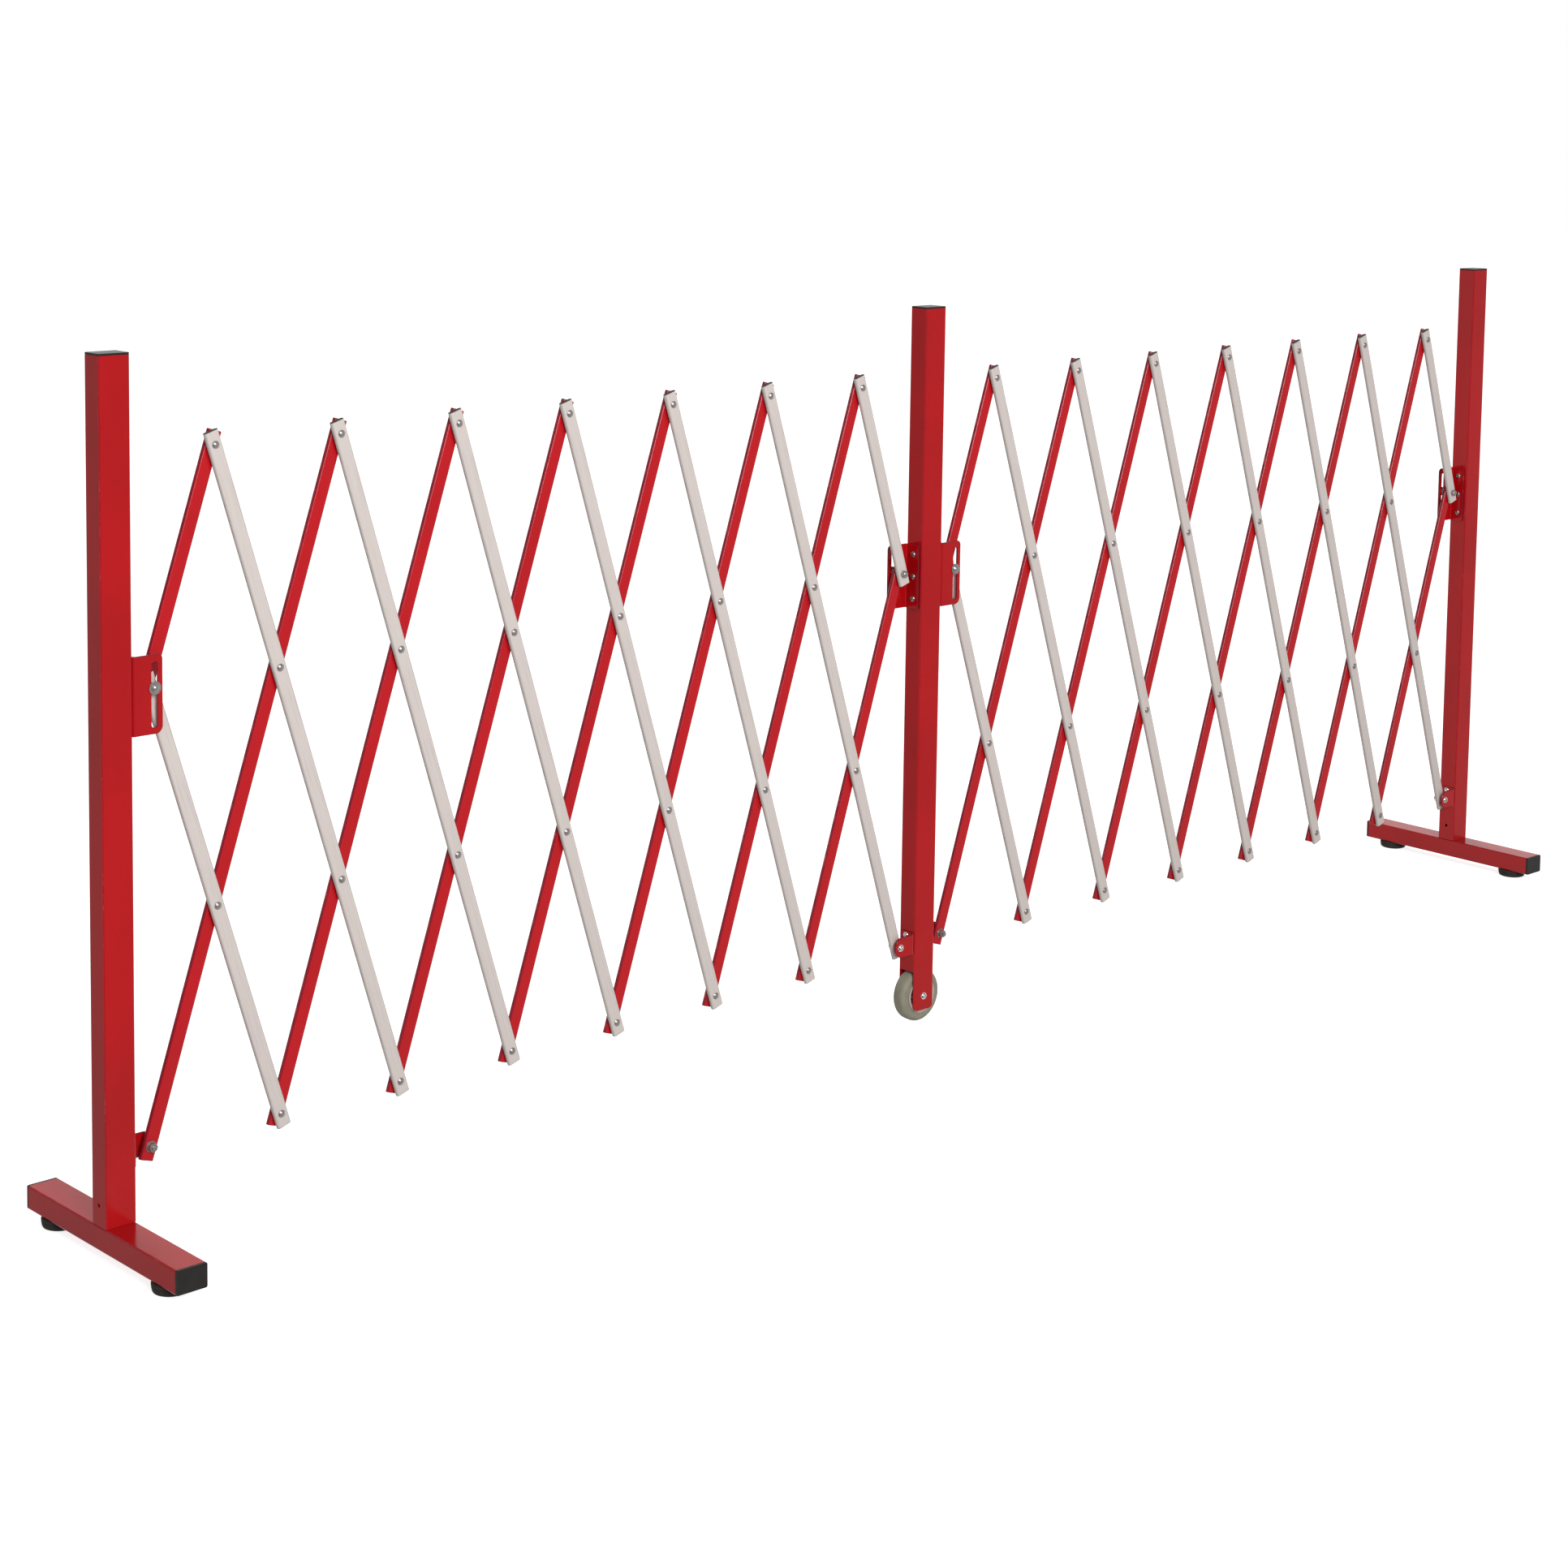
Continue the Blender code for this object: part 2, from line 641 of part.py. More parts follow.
def barMesh(layer, k, levels, origin):
    """One bar along Z with its origin on the pivot that joins it to the bar or post before it."""
    low = (levels[0] - origin) * pivotSpacing - barEndReach
    high = (levels[-1] - origin) * pivotSpacing + barEndReach
    inner, outer = sorted((frontFace, -layerGap / 2) if layer == "front" else (layerGap / 2, backFace))
    middle = (inner + outer) / 2
    body = bmesh.new()
    loft(body, [[(x, y + middle, z) for x, y in stadium(barWidth, barThickness)] for z in (low, high)])
    base = meshFrom(body, f"{layer}_bar")
    others = bmesh.new()
    for level in levels:
        centre = Vector((0.0, 0.0, (level - origin) * pivotSpacing))
        if layer == "back":
            turned(others, fastenerOf(k, level), fastenerSides, centre)
            continue
        pinned = nodeOf(layer, k, level) in (0, nodeSpan)
        radius = (pinRadius if pinned else rivetRadius) + holeClearance
        turned(others, [(frontFace - barThickness, radius), (barThickness, radius)], fastenerSides, centre)
    other = meshFrom(others, f"{layer}_fasteners")
    if layer == "back":
        return combined(f"{layer}_bar_{k}", base, joins=[other])
    return combined(f"{layer}_bar_{k}", base, cuts=[other])


for side, latticeX, pitch, rise, angle in (
    ("left", leftLatticeX, leftPitch, leftRise, leftAngle),
    ("right", rightLatticeX, rightPitch, rightRise, rightAngle),
):
    latticeFrame = frameAt(f"{side}_lattice", latticeX)
    latticeFrame.location.z = lowerPivotHeight
    for layer, paint, lean in (("back", redPaint, angle), ("front", creamPaint, -angle)):
        for k in range(2 * levelCount):
            levels = [m for m in range(levelCount) if 0 <= nodeOf(layer, k, m) <= nodeSpan]
            origin = jointLevels[side, layer][k]
            key = (layer, k, origin)
            if key not in barMeshes:
                barMeshes[key] = barMesh(layer, k, levels, origin)
            bar = newObject(f"{side}_{layer}_bar_{k}", barMeshes[key], paint, latticeFrame)
            bar.location = (nodeOf(layer, k, origin) * pitch, 0.0, origin * rise)
            bar.rotation_euler.y = lean
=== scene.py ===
# Looks of the expandable safety barrier: painted posts and feet, flat-oval lattice bars, rivets, brackets, wheel.
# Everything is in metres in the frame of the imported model: X along the barrier, -Y the front, Z up.

import math

import bpy
import numpy as np
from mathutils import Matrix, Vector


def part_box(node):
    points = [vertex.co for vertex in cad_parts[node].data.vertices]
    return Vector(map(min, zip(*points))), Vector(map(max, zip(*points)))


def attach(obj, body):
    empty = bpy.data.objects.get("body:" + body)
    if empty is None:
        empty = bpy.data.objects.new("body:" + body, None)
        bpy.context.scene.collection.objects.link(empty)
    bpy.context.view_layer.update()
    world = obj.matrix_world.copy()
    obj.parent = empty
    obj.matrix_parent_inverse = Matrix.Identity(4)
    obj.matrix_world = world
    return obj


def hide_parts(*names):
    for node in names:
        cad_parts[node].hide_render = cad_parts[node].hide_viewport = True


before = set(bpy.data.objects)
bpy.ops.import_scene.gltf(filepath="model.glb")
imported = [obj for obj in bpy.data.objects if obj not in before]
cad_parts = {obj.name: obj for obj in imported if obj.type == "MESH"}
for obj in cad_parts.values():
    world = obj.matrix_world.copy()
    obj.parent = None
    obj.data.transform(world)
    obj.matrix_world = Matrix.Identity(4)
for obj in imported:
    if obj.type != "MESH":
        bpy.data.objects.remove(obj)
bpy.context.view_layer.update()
print("frame: loaded")

# Places that several pieces share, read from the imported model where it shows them.
leftPostLow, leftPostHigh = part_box("left_post")
middlePostLow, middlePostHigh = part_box("middle_post")
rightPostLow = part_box("right_post")[0]
postWidth = leftPostHigh.x - leftPostLow.x
postDepth = leftPostHigh.y - leftPostLow.y
halfDepth = postDepth / 2
pivotReach = 0.0275

lattice = {
    "pivotSpacing": 0.2721,
    "pitch": {"left": 0.0830, "right": 0.0854},
    "firstX": {"left": leftPostHigh.x + pivotReach, "right": middlePostHigh.x + pivotReach},
    "lowerPivotHeight": 0.1136,
    "levels": 4,
    "nodes": 14,
    "barsPerLayer": 8,
    "barWidth": 0.0185,
    "barThickness": 0.0065,
    "endReach": 0.0160,
    "layerGap": 0.0010,
}
sheet = {"thickness": 0.0025, "reach": 0.0375, "seat": 0.0003}
plateOuter = halfDepth
plateInner = halfDepth - sheet["thickness"]


# Finishes: red paint, cream paint, black plastic, rubber, grey tyre rubber, zinc-plated steel.
def newGroup(name, inputs, outputs):
    group = bpy.data.node_groups.new(name, "ShaderNodeTree")
    for label, kind, value in inputs:
        socket = group.interface.new_socket(name=label, in_out="INPUT", socket_type=kind)
        if value is not None:
            socket.default_value = value
    for label, kind in outputs:
        group.interface.new_socket(name=label, in_out="OUTPUT", socket_type=kind)
    return group, group.nodes.new("NodeGroupInput").outputs, group.nodes.new("NodeGroupOutput").inputs


def addNode(tree, kind, settings=None, links=None):
    node = tree.nodes.new(kind)
    for name, value in (settings or {}).items():
        setattr(node, name, value)
    for name, source in (links or {}).items():
        if isinstance(source, bpy.types.NodeSocket):
            tree.links.new(source, node.inputs[name])
        else:
            node.inputs[name].default_value = source
    return node


def mathNode(tree, operation, first, second=0.0, clamp=False):
    return addNode(tree, "ShaderNodeMath", {"operation": operation, "use_clamp": clamp},
                   {0: first, 1: second}).outputs[0]


def product(tree, first, second, clamp=False):
    return mathNode(tree, "MULTIPLY", first, second, clamp)


def total(tree, first, second, clamp=False):
    return mathNode(tree, "ADD", first, second, clamp)


def rampNode(tree, value, low, high):
    # 0 below low, 1 above high, smooth between
    node = addNode(tree, "ShaderNodeMapRange", {"interpolation_type": "SMOOTHSTEP"},
                   {"Value": value, "From Min": low, "From Max": high})
    return node.outputs["Result"]


def objectPlace(tree):
    return addNode(tree, "ShaderNodeTexCoord").outputs["Object"]


def edgeMark(tree):
    # The mesh's own mark: 1 along its edges, 0 on its faces
    return addNode(tree, "ShaderNodeAttribute", {"attribute_name": "edge"}).outputs["Fac"]


def partsOf(tree, vector):
    return addNode(tree, "ShaderNodeSeparateXYZ", None, {"Vector": vector}).outputs


def mixColour(tree, factor, first, second):
    node = addNode(tree, "ShaderNodeMix", {"data_type": "RGBA"}, {"Factor": factor})
    for socket, value in ((node.inputs[6], first), (node.inputs[7], second)):
        if isinstance(value, bpy.types.NodeSocket):
            tree.links.new(value, socket)
        else:
            socket.default_value = (*value, 1.0)
    return node.outputs[2]


def noiseNode(tree, vector, scale, detail=3.0, roughness=0.5):
    return addNode(tree, "ShaderNodeTexNoise", None,
                   {"Vector": vector, "Scale": scale, "Detail": detail, "Roughness": roughness}).outputs["Fac"]


def makePaintSkin():
    # Orange-peel relief of sprayed paint with a slow change in its gloss
    group, given, made = newGroup(
        "paintSkin",
        [("Peel Size", "NodeSocketFloat", 420.0), ("Peel Height", "NodeSocketFloat", 0.06),
         ("Gloss", "NodeSocketFloat", 0.2), ("Gloss Change", "NodeSocketFloat", 0.08)],
        [("Normal", "NodeSocketVector"), ("Roughness", "NodeSocketFloat")],
    )
    place = objectPlace(group)
    peel = noiseNode(group, place, given["Peel Size"], 2.0, 0.45)
    slow = noiseNode(group, place, 9.0, 4.0, 0.6)
    bump = addNode(group, "ShaderNodeBump", None,
                   {"Strength": given["Peel Height"], "Distance": 0.0004, "Height": peel})
    change = product(group, mathNode(group, "SUBTRACT", slow, 0.5), given["Gloss Change"])
    group.links.new(bump.outputs["Normal"], made["Normal"])
    group.links.new(total(group, given["Gloss"], change, True), made["Roughness"])
    return group


def makeEdgeWear():
    # A broken line of rubbed paint along the edges that the mesh marks
    group, given, made = newGroup(
        "edgeWear",
        [("Amount", "NodeSocketFloat", 0.3), ("Size", "NodeSocketFloat", 60.0)],
        [("Mask", "NodeSocketFloat")],
    )
    broken = noiseNode(group, objectPlace(group), given["Size"], 5.0, 0.65)
    rubbed = product(group, edgeMark(group), total(group, broken, 0.35))
    reach = mathNode(group, "SUBTRACT", 1.0, given["Amount"])
    group.links.new(rampNode(group, rubbed, reach, 1.05), made["Mask"])
    return group


def makeEdgeShade():
    # Painted shade: rounded edges are painted darker along the mesh's edge mark, standing in for the shade and dark
    # reflections that they catch
    group, given, made = newGroup(
        "edgeShade",
        [("Colour", "NodeSocketColor", (1.0, 1.0, 1.0, 1.0)), ("Shade", "NodeSocketColor", (0.1, 0.1, 0.1, 1.0)),
         ("Amount", "NodeSocketFloat", 0.5)],
        [("Colour", "NodeSocketColor")],
    )
    amount = product(group, rampNode(group, edgeMark(group), 0.15, 0.95), given["Amount"])
    group.links.new(mixColour(group, amount, given["Colour"], given["Shade"]), made["Colour"])
    return group


def makeDust():
    # Dust that settles on faces that look up and near the floor
    group, given, made = newGroup(
        "dust",
        [("Amount", "NodeSocketFloat", 0.2), ("Fade Height", "NodeSocketFloat", 0.3)],
        [("Mask", "NodeSocketFloat")],
    )
    place = objectPlace(group)
    height = mathNode(group, "DIVIDE", partsOf(group, place)["Z"], given["Fade Height"], True)
    upward = partsOf(group, addNode(group, "ShaderNodeNewGeometry").outputs["Normal"])["Z"]
    settled = mathNode(group, "MAXIMUM", product(group, upward, 0.8, True),
                       mathNode(group, "SUBTRACT", 1.0, height))
    cloud = noiseNode(group, place, 55.0, 6.0, 0.7)
    group.links.new(product(group, product(group, settled, cloud), given["Amount"], True), made["Mask"])
    return group


def makeDrawnLines():
    # Fine lengthwise lines left by rolling the bar's tube, along the second direction of its own map
    group, given, made = newGroup(
        "drawnLines",
        [("Line Width", "NodeSocketFloat", 0.0012), ("Line Length", "NodeSocketFloat", 0.09)],
        [("Mask", "NodeSocketFloat")],
    )
    place = partsOf(group, addNode(group, "ShaderNodeUVMap", {"uv_map": "surface"}).outputs["UV"])
    stretched = addNode(group, "ShaderNodeCombineXYZ", None, {
        "X": mathNode(group, "DIVIDE", place["X"], given["Line Width"]),
        "Y": mathNode(group, "DIVIDE", place["Y"], given["Line Length"])})
    group.links.new(noiseNode(group, stretched.outputs["Vector"], 1.0, 3.0, 0.6), made["Mask"])
    return group


paintSkin = makePaintSkin()
edgeWear = makeEdgeWear()
edgeShade = makeEdgeShade()
dust = makeDust()
drawnLines = makeDrawnLines()


def newMaterial(name):
    material = bpy.data.materials.new(name)
    material.use_nodes = True
    tree = material.node_tree
    return material, tree, tree.nodes["Principled BSDF"]


def placeGroup(tree, group, values):
    return addNode(tree, "ShaderNodeGroup", {"node_tree": group}, values).outputs


def connectSurface(tree, surface, colour, rough, normal, fixed):
    # What changes over the surface is linked, and what is the same all over is set on the shader's own socket
    for name, source in (("Base Color", colour), ("Roughness", rough), ("Normal", normal)):
        tree.links.new(source, surface.inputs[name])
    for name, value in fixed.items():
        surface.inputs[name].default_value = value


def makePaint(name, look):
    # Sprayed paint in two shades, mixed in slow clouds or along the tube's lines, with painted shade on the rounded
    # edges, wear and dust
    material, tree, surface = newMaterial(name)
    skin = placeGroup(tree, paintSkin, {"Peel Size": look["peelSize"], "Peel Height": look["peelHeight"],
                                        "Gloss": look["gloss"], "Gloss Change": look["glossChange"]})
    worn = placeGroup(tree, edgeWear, {"Amount": look["wear"]})["Mask"]
    dusty = placeGroup(tree, dust, {"Amount": look["dust"], "Fade Height": look["dustHeight"]})["Mask"]
    if look["lined"]:
        pattern = placeGroup(tree, drawnLines, {})["Mask"]
    else:
        pattern = noiseNode(tree, objectPlace(tree), look["cloudSize"], 4.0, 0.55)
    colour = mixColour(tree, rampNode(tree, pattern, *look["patternRamp"]), look["colour"], look["secondColour"])
    # Painted shade: the marked edges are mixed towards the edge's dark shade colour
    colour = placeGroup(tree, edgeShade, {"Colour": colour, "Shade": (*look["edgeShadeColour"], 1.0),
                                          "Amount": look["edgeShade"]})["Colour"]
    colour = mixColour(tree, worn, colour, look["wornColour"])
    colour = mixColour(tree, dusty, colour, look["dustColour"])
    rough = total(tree, skin["Roughness"], product(tree, dusty, look["dustRough"]), True)
    connectSurface(tree, surface, colour, rough, skin["Normal"], {"Specular IOR Level": look["specular"]})
    return material


def makeMoulded(name, look):
    # Moulded plastic or rubber: a fine grain, a slow change of shade and dust
    material, tree, surface = newMaterial(name)
    place = objectPlace(tree)
    grain = noiseNode(tree, place, look["grainSize"], 4.0, 0.6)
    cloud = rampNode(tree, noiseNode(tree, place, look["cloudSize"], 5.0, 0.6), 0.3, 0.75)
    dusty = placeGroup(tree, dust, {"Amount": look["dust"], "Fade Height": look["dustHeight"]})["Mask"]
    colour = mixColour(tree, cloud, look["colour"], look["shadeColour"])
    colour = mixColour(tree, dusty, colour, look["dustColour"])
    bump = addNode(tree, "ShaderNodeBump", None,
                   {"Strength": look["grainHeight"], "Distance": 0.0003, "Height": grain})
    rough = total(tree, look["roughness"], product(tree, dusty, 0.3), True)
    connectSurface(tree, surface, colour, rough, bump.outputs["Normal"], {"Specular IOR Level": look["specular"]})
    return material


def makeSteel(name, look):
    # Zinc-plated steel: a fine grain, and a darker film in places that is also duller
    material, tree, surface = newMaterial(name)
    place = objectPlace(tree)
    film = rampNode(tree, noiseNode(tree, place, 350.0, 4.0, 0.6), 0.40, 0.75)
    fine = noiseNode(tree, place, 2600.0, 2.0, 0.5)
    colour = mixColour(tree, film, look["colour"], look["filmColour"])
    rough = total(tree, look["roughness"], product(tree, film, look["filmRoughness"]))
    bump = addNode(tree, "ShaderNodeBump", None, {"Strength": 0.12, "Distance": 0.0001, "Height": fine})
    connectSurface(tree, surface, colour, rough, bump.outputs["Normal"], {"Metallic": look["metallic"]})
    return material


# The edge colour and edge amount in each look are painted shade on the rounded edges: light on the posts and feet
redLook = {
    "colour": (0.480, 0.0030, 0.0060), "secondColour": (0.410, 0.0025, 0.0050), "lined": False,
    "cloudSize": 6.0, "patternRamp": (0.35, 0.70), "wornColour": (0.56, 0.060, 0.060),
    "edgeShadeColour": (0.120, 0.0040, 0.0200), "edgeShade": 0.25, "dustColour": (0.30, 0.13, 0.12),
    "gloss": 0.15, "glossChange": 0.06, "peelSize": 420.0, "peelHeight": 0.05, "wear": 0.16,
    "dust": 0.08, "dustHeight": 0.3, "dustRough": 0.5, "specular": 0.40,
}
# Cream bars: grey painted shade over their rounded sides
creamLook = {
    "colour": (0.670, 0.600, 0.565), "secondColour": (0.540, 0.480, 0.452), "lined": True,
    "patternRamp": (0.48, 0.80), "wornColour": (0.40, 0.37, 0.35),
    "edgeShadeColour": (0.36, 0.32, 0.31), "edgeShade": 0.5, "dustColour": (0.45, 0.41, 0.38),
    "gloss": 0.34, "glossChange": 0.08, "peelSize": 500.0, "peelHeight": 0.04, "wear": 0.28,
    "dust": 0.25, "dustHeight": 0.4, "dustRough": 0.0, "specular": 0.42,
}
redPaint = makePaint("redPostPaint", redLook)
# Brackets: strong painted shade along the sheet's cut edges
bracketPaint = makePaint("redBracketPaint", {**redLook, "edgeShade": 0.80, "wear": 0.12})
# Red bars: dark purple painted shade over their rounded sides
barRedPaint = makePaint("redBarPaint", {
    **redLook, "colour": (0.540, 0.0050, 0.0110), "secondColour": (0.480, 0.0040, 0.0090), "gloss": 0.22,
    "edgeShadeColour": (0.085, 0.0040, 0.0200), "edgeShade": 0.65, "wear": 0.20, "dust": 0.05})
creamPaint = makePaint("creamBarPaint", creamLook)
capPlastic = makeMoulded("capPlastic", {
    "colour": (0.012, 0.010, 0.009), "shadeColour": (0.018, 0.016, 0.015), "dustColour": (0.09, 0.08, 0.075),
    "grainSize": 1400.0, "cloudSize": 40.0, "grainHeight": 0.25, "roughness": 0.42, "dust": 0.10,
    "dustHeight": 0.1, "specular": 0.40})
glossCapPlastic = makeMoulded("glossCapPlastic", {
    "colour": (0.022, 0.020, 0.019), "shadeColour": (0.030, 0.027, 0.025), "dustColour": (0.12, 0.11, 0.10),
    "grainSize": 300.0, "cloudSize": 40.0, "grainHeight": 0.04, "roughness": 0.32, "dust": 0.06,
    "dustHeight": 0.1, "specular": 0.22})
padRubber = makeMoulded("padRubber", {
    "colour": (0.016, 0.014, 0.013), "shadeColour": (0.026, 0.023, 0.021), "dustColour": (0.13, 0.12, 0.11),
    "grainSize": 1100.0, "cloudSize": 90.0, "grainHeight": 0.4, "roughness": 0.68, "dust": 0.30,
    "dustHeight": 0.02, "specular": 0.30})
tyreRubber = makeMoulded("tyreRubber", {
    "colour": (0.300, 0.285, 0.215), "shadeColour": (0.235, 0.225, 0.170), "dustColour": (0.36, 0.33, 0.27),
    "grainSize": 900.0, "cloudSize": 70.0, "grainHeight": 0.35, "roughness": 0.62, "dust": 0.35,
    "dustHeight": 0.05, "specular": 0.30})
hubPlastic = makeMoulded("hubPlastic", {
    "colour": (0.520, 0.440, 0.390), "shadeColour": (0.430, 0.365, 0.320), "dustColour": (0.30, 0.26, 0.23),
    "grainSize": 1200.0, "cloudSize": 60.0, "grainHeight": 0.25, "roughness": 0.5, "dust": 0.25,
    "dustHeight": 0.06, "specular": 0.40})
brightSteel = makeSteel("brightSteel", {"colour": (0.90, 0.87, 0.84), "filmColour": (0.66, 0.62, 0.59),
                                        "roughness": 0.14, "filmRoughness": 0.14, "metallic": 1.0})
rivetSteel = makeSteel("rivetSteel", {"colour": (0.38, 0.35, 0.34), "filmColour": (0.27, 0.25, 0.24),
                                      "roughness": 0.24, "filmRoughness": 0.16, "metallic": 0.60})
screwSteel = makeSteel("screwSteel", {"colour": (0.46, 0.43, 0.41), "filmColour": (0.26, 0.24, 0.23),
                                      "roughness": 0.30, "filmRoughness": 0.18, "metallic": 1.0})
print("materials: made")


# Surfaces. A shell is a closed skin: points, faces, a map in metres and a mark along its edges.
def roundedOutline(width, depth, radius, steps):
    # Four quarter circles of one radius joined by straight sides, anticlockwise
    quarter = np.linspace(0.0, math.pi / 2, steps + 1)
    turns = np.concatenate([quarter + math.pi / 2 * k for k in range(4)])
    corner = np.array([[1, 1], [-1, 1], [-1, -1], [1, -1]]) * [width / 2 - radius, depth / 2 - radius]
    return np.repeat(corner, steps + 1, axis=0) + radius * np.stack([np.cos(turns), np.sin(turns)], axis=1)


def cornerMarks(steps):
    # 1 at the middle of each rounded corner, 0 where it meets the flat sides
    return np.tile(np.sin(np.linspace(0.0, math.pi, steps + 1)), 4)


def skin(grid, closeRows=False, edge=None):
    # Quads between the neighbouring rows and columns of a grid; the columns meet round the back. Unless the rows
    # meet too, a fan of triangles to the middle of the first and last row closes each end.
    rows, columns = grid.shape[:2]
    points = grid.reshape(-1, 3)
    marks = np.zeros(rows * columns) if edge is None else np.broadcast_to(edge, (rows, columns)).reshape(-1)
    loopGrid = np.concatenate([grid, grid[:, :1]], axis=1)
    around = np.concatenate([np.zeros((rows, 1)), np.cumsum(
        np.linalg.norm(np.diff(loopGrid, axis=1), axis=2), axis=1)], axis=1)
    stepped = np.concatenate([grid, grid[:1]], axis=0) if closeRows else grid
    along = np.concatenate([[0.0], np.cumsum(np.linalg.norm(np.diff(stepped, axis=0), axis=2).mean(axis=1))])
    r, c = np.meshgrid(np.arange(rows if closeRows else rows - 1), np.arange(columns), indexing="ij")
    r, c = r.ravel(), c.ravel()
    below, right = (r + 1) % rows, (c + 1) % columns
    quads = np.stack([r * columns + c, r * columns + right, below * columns + right, below * columns + c], axis=1)
    quadMap = np.stack([
        np.stack([around[r, c], along[r]], axis=1), np.stack([around[r, c + 1], along[r]], axis=1),
        np.stack([around[below, c + 1], along[r + 1]], axis=1), np.stack([around[below, c], along[r + 1]], axis=1),
    ], axis=1)
    triangles, triangleMap = np.zeros((0, 3), int), np.zeros((0, 3, 2))
    if not closeRows:
        points = np.concatenate([points, grid[0].mean(axis=0)[None], grid[-1].mean(axis=0)[None]])
        marks = np.concatenate([marks, [0.0, 0.0]])
        c = np.arange(columns)
        last = (rows - 1) * columns
        first = np.stack([(c + 1) % columns, c, np.full(columns, rows * columns)], axis=1)
        final = np.stack([last + c, last + (c + 1) % columns, np.full(columns, rows * columns + 1)], axis=1)
        triangles = np.concatenate([first, final])
        triangleMap = points[triangles][:, :, :2]
    volume = sum(np.einsum("ij,ij->", points[f[:, 0]], np.cross(points[f[:, 1]], points[f[:, 2]]))
                 for f in (quads[:, :3], quads[:, [0, 2, 3]], triangles))
    if volume < 0:
        quads, quadMap = quads[:, ::-1], quadMap[:, ::-1]
        triangles, triangleMap = triangles[:, ::-1], triangleMap[:, ::-1]
    return {"points": points, "marks": marks, "faces": [(quads, quadMap), (triangles, triangleMap)]}


def makeMesh(name, shells):
    # All shells as one mesh, with its map "surface" and its edge marks "edge"
    points = np.concatenate([shell["points"] for shell in shells])
    marks = np.concatenate([shell["marks"] for shell in shells])
    corners, totals, maps = [], [], []
    start = 0
    for shell in shells:
        for faces, faceMap in shell["faces"]:
            corners.append((faces + start).ravel())
            totals.append(np.full(len(faces), faces.shape[1]))
            maps.append(faceMap.reshape(-1, 2))
        start += len(shell["points"])
    corners, totals = np.concatenate(corners), np.concatenate(totals)
    mesh = bpy.data.meshes.new(name)
    mesh.vertices.add(len(points))
    mesh.loops.add(len(corners))
    mesh.polygons.add(len(totals))
    mesh.vertices.foreach_set("co", points.astype(np.float32).ravel())
    mesh.loops.foreach_set("vertex_index", corners.astype(np.int32))
    mesh.polygons.foreach_set("loop_start", np.concatenate([[0], np.cumsum(totals)[:-1]]).astype(np.int32))
    mesh.uv_layers.new(name="surface").data.foreach_set("uv", np.concatenate(maps).astype(np.float32).ravel())
    mesh.attributes.new("edge", "FLOAT", "POINT").data.foreach_set("value", marks.astype(np.float32))
    mesh.update(calc_edges=True)
    mesh.shade_smooth()
    return mesh


sharpAngle = math.radians(34)


def makePiece(name, shells, material, body, replaced=(), cutters=()):
    # One object with its place in its mesh, cut where asked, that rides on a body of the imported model
    mesh = makeMesh(name, shells)
    mesh.materials.append(material)
    piece = bpy.data.objects.new(name, mesh)
    bpy.context.scene.collection.objects.link(piece)
    if cutters:
        cutAway(piece, cutters)
    piece.data.set_sharp_from_angle(angle=sharpAngle)
    flat = piece.modifiers.new("flat faces stay flat", "WEIGHTED_NORMAL")
    flat.keep_sharp = True
    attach(piece, body)
    if replaced:
        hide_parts(*replaced)


def cutAway(piece, cutters):
    # Takes each cutter's shell out of the piece with an exact Boolean and keeps the result as its mesh
    helpers = []
    for k, shell in enumerate(cutters):
        helper = bpy.data.objects.new(f"{piece.name}_cutter_{k}", makeMesh(f"cutter_{k}", [shell]))
        bpy.context.scene.collection.objects.link(helper)
        cut = piece.modifiers.new(helper.name, "BOOLEAN")
        cut.operation, cut.solver, cut.object = "DIFFERENCE", "EXACT", helper
        helpers.append(helper)
    bpy.context.view_layer.update()
    done = bpy.data.meshes.new_from_object(piece.evaluated_get(bpy.context.evaluated_depsgraph_get()))
    piece.modifiers.clear()
    piece.data = done
    for helper in helpers:
        bpy.data.objects.remove(helper)


def axes(along, side):
    # Three unit directions: side, along x side, along
    along, side = np.asarray(along, float), np.asarray(side, float)
    return np.stack([side, np.cross(along, side), along])


alongY = axes((0, 1, 0), (1, 0, 0))
alongZ = axes((0, 0, 1), (1, 0, 0))


def sweep(outlines, distances, centre, directions):
    # One outline at each distance along the third direction
    outlines = np.asarray(outlines, float)
    distances = np.broadcast_to(np.asarray(distances, float)[:, None, None], (*outlines.shape[:2], 1))
    return np.asarray(centre) + np.concatenate([outlines, distances], axis=2) @ directions


def turned(profile, centre, directions=alongY, sides=24):
    # Turns (distance, radius, sides of a polygon or 0 for round) about the third direction. A polygon's radius
    # shrinks towards the middle of its flats by the cosine rule.
    angle = 2 * math.pi * np.arange(sides) / sides
    rings = []
    for distance, radius, flats in profile:
        reach = np.full(sides, float(radius))
        if flats:
            part = math.pi / flats
            reach = reach * math.cos(part) / np.cos(angle % (2 * part) - part)
        rings.append(np.stack([reach * np.cos(angle), reach * np.sin(angle)], axis=1))
    return skin(sweep(rings, [row[0] for row in profile], centre, directions))


def softBlock(outline, inset, low, high, soften, centre, directions, marks=None, steps=3):
    # An outline carried from low to high. Near each end it shrinks towards its middle as a quarter circle of the
    # radius soften does; inset holds its half width and half depth.
    angle = np.linspace(0.0, math.pi / 2, steps + 1)
    shrink = soften * (1 - np.sin(angle))
    rise = soften * (1 - np.cos(angle))
    scale = 1 - np.concatenate([shrink, shrink[::-1]])[:, None] / inset
    distances = np.concatenate([low + rise, high - rise[::-1]])
    rings = outline[None] * scale[:, None]
    return skin(sweep(rings, distances, centre, directions), edge=marks)


def tubeShell(outer, inner, low, high, centre, directions, marks):
    # Outside and inside of a hollow tube with its two end faces, as one ring of rows
    grid = sweep([outer, outer, inner, inner], [low, high, high, low], centre, directions)
    return skin(grid, closeRows=True, edge=marks)


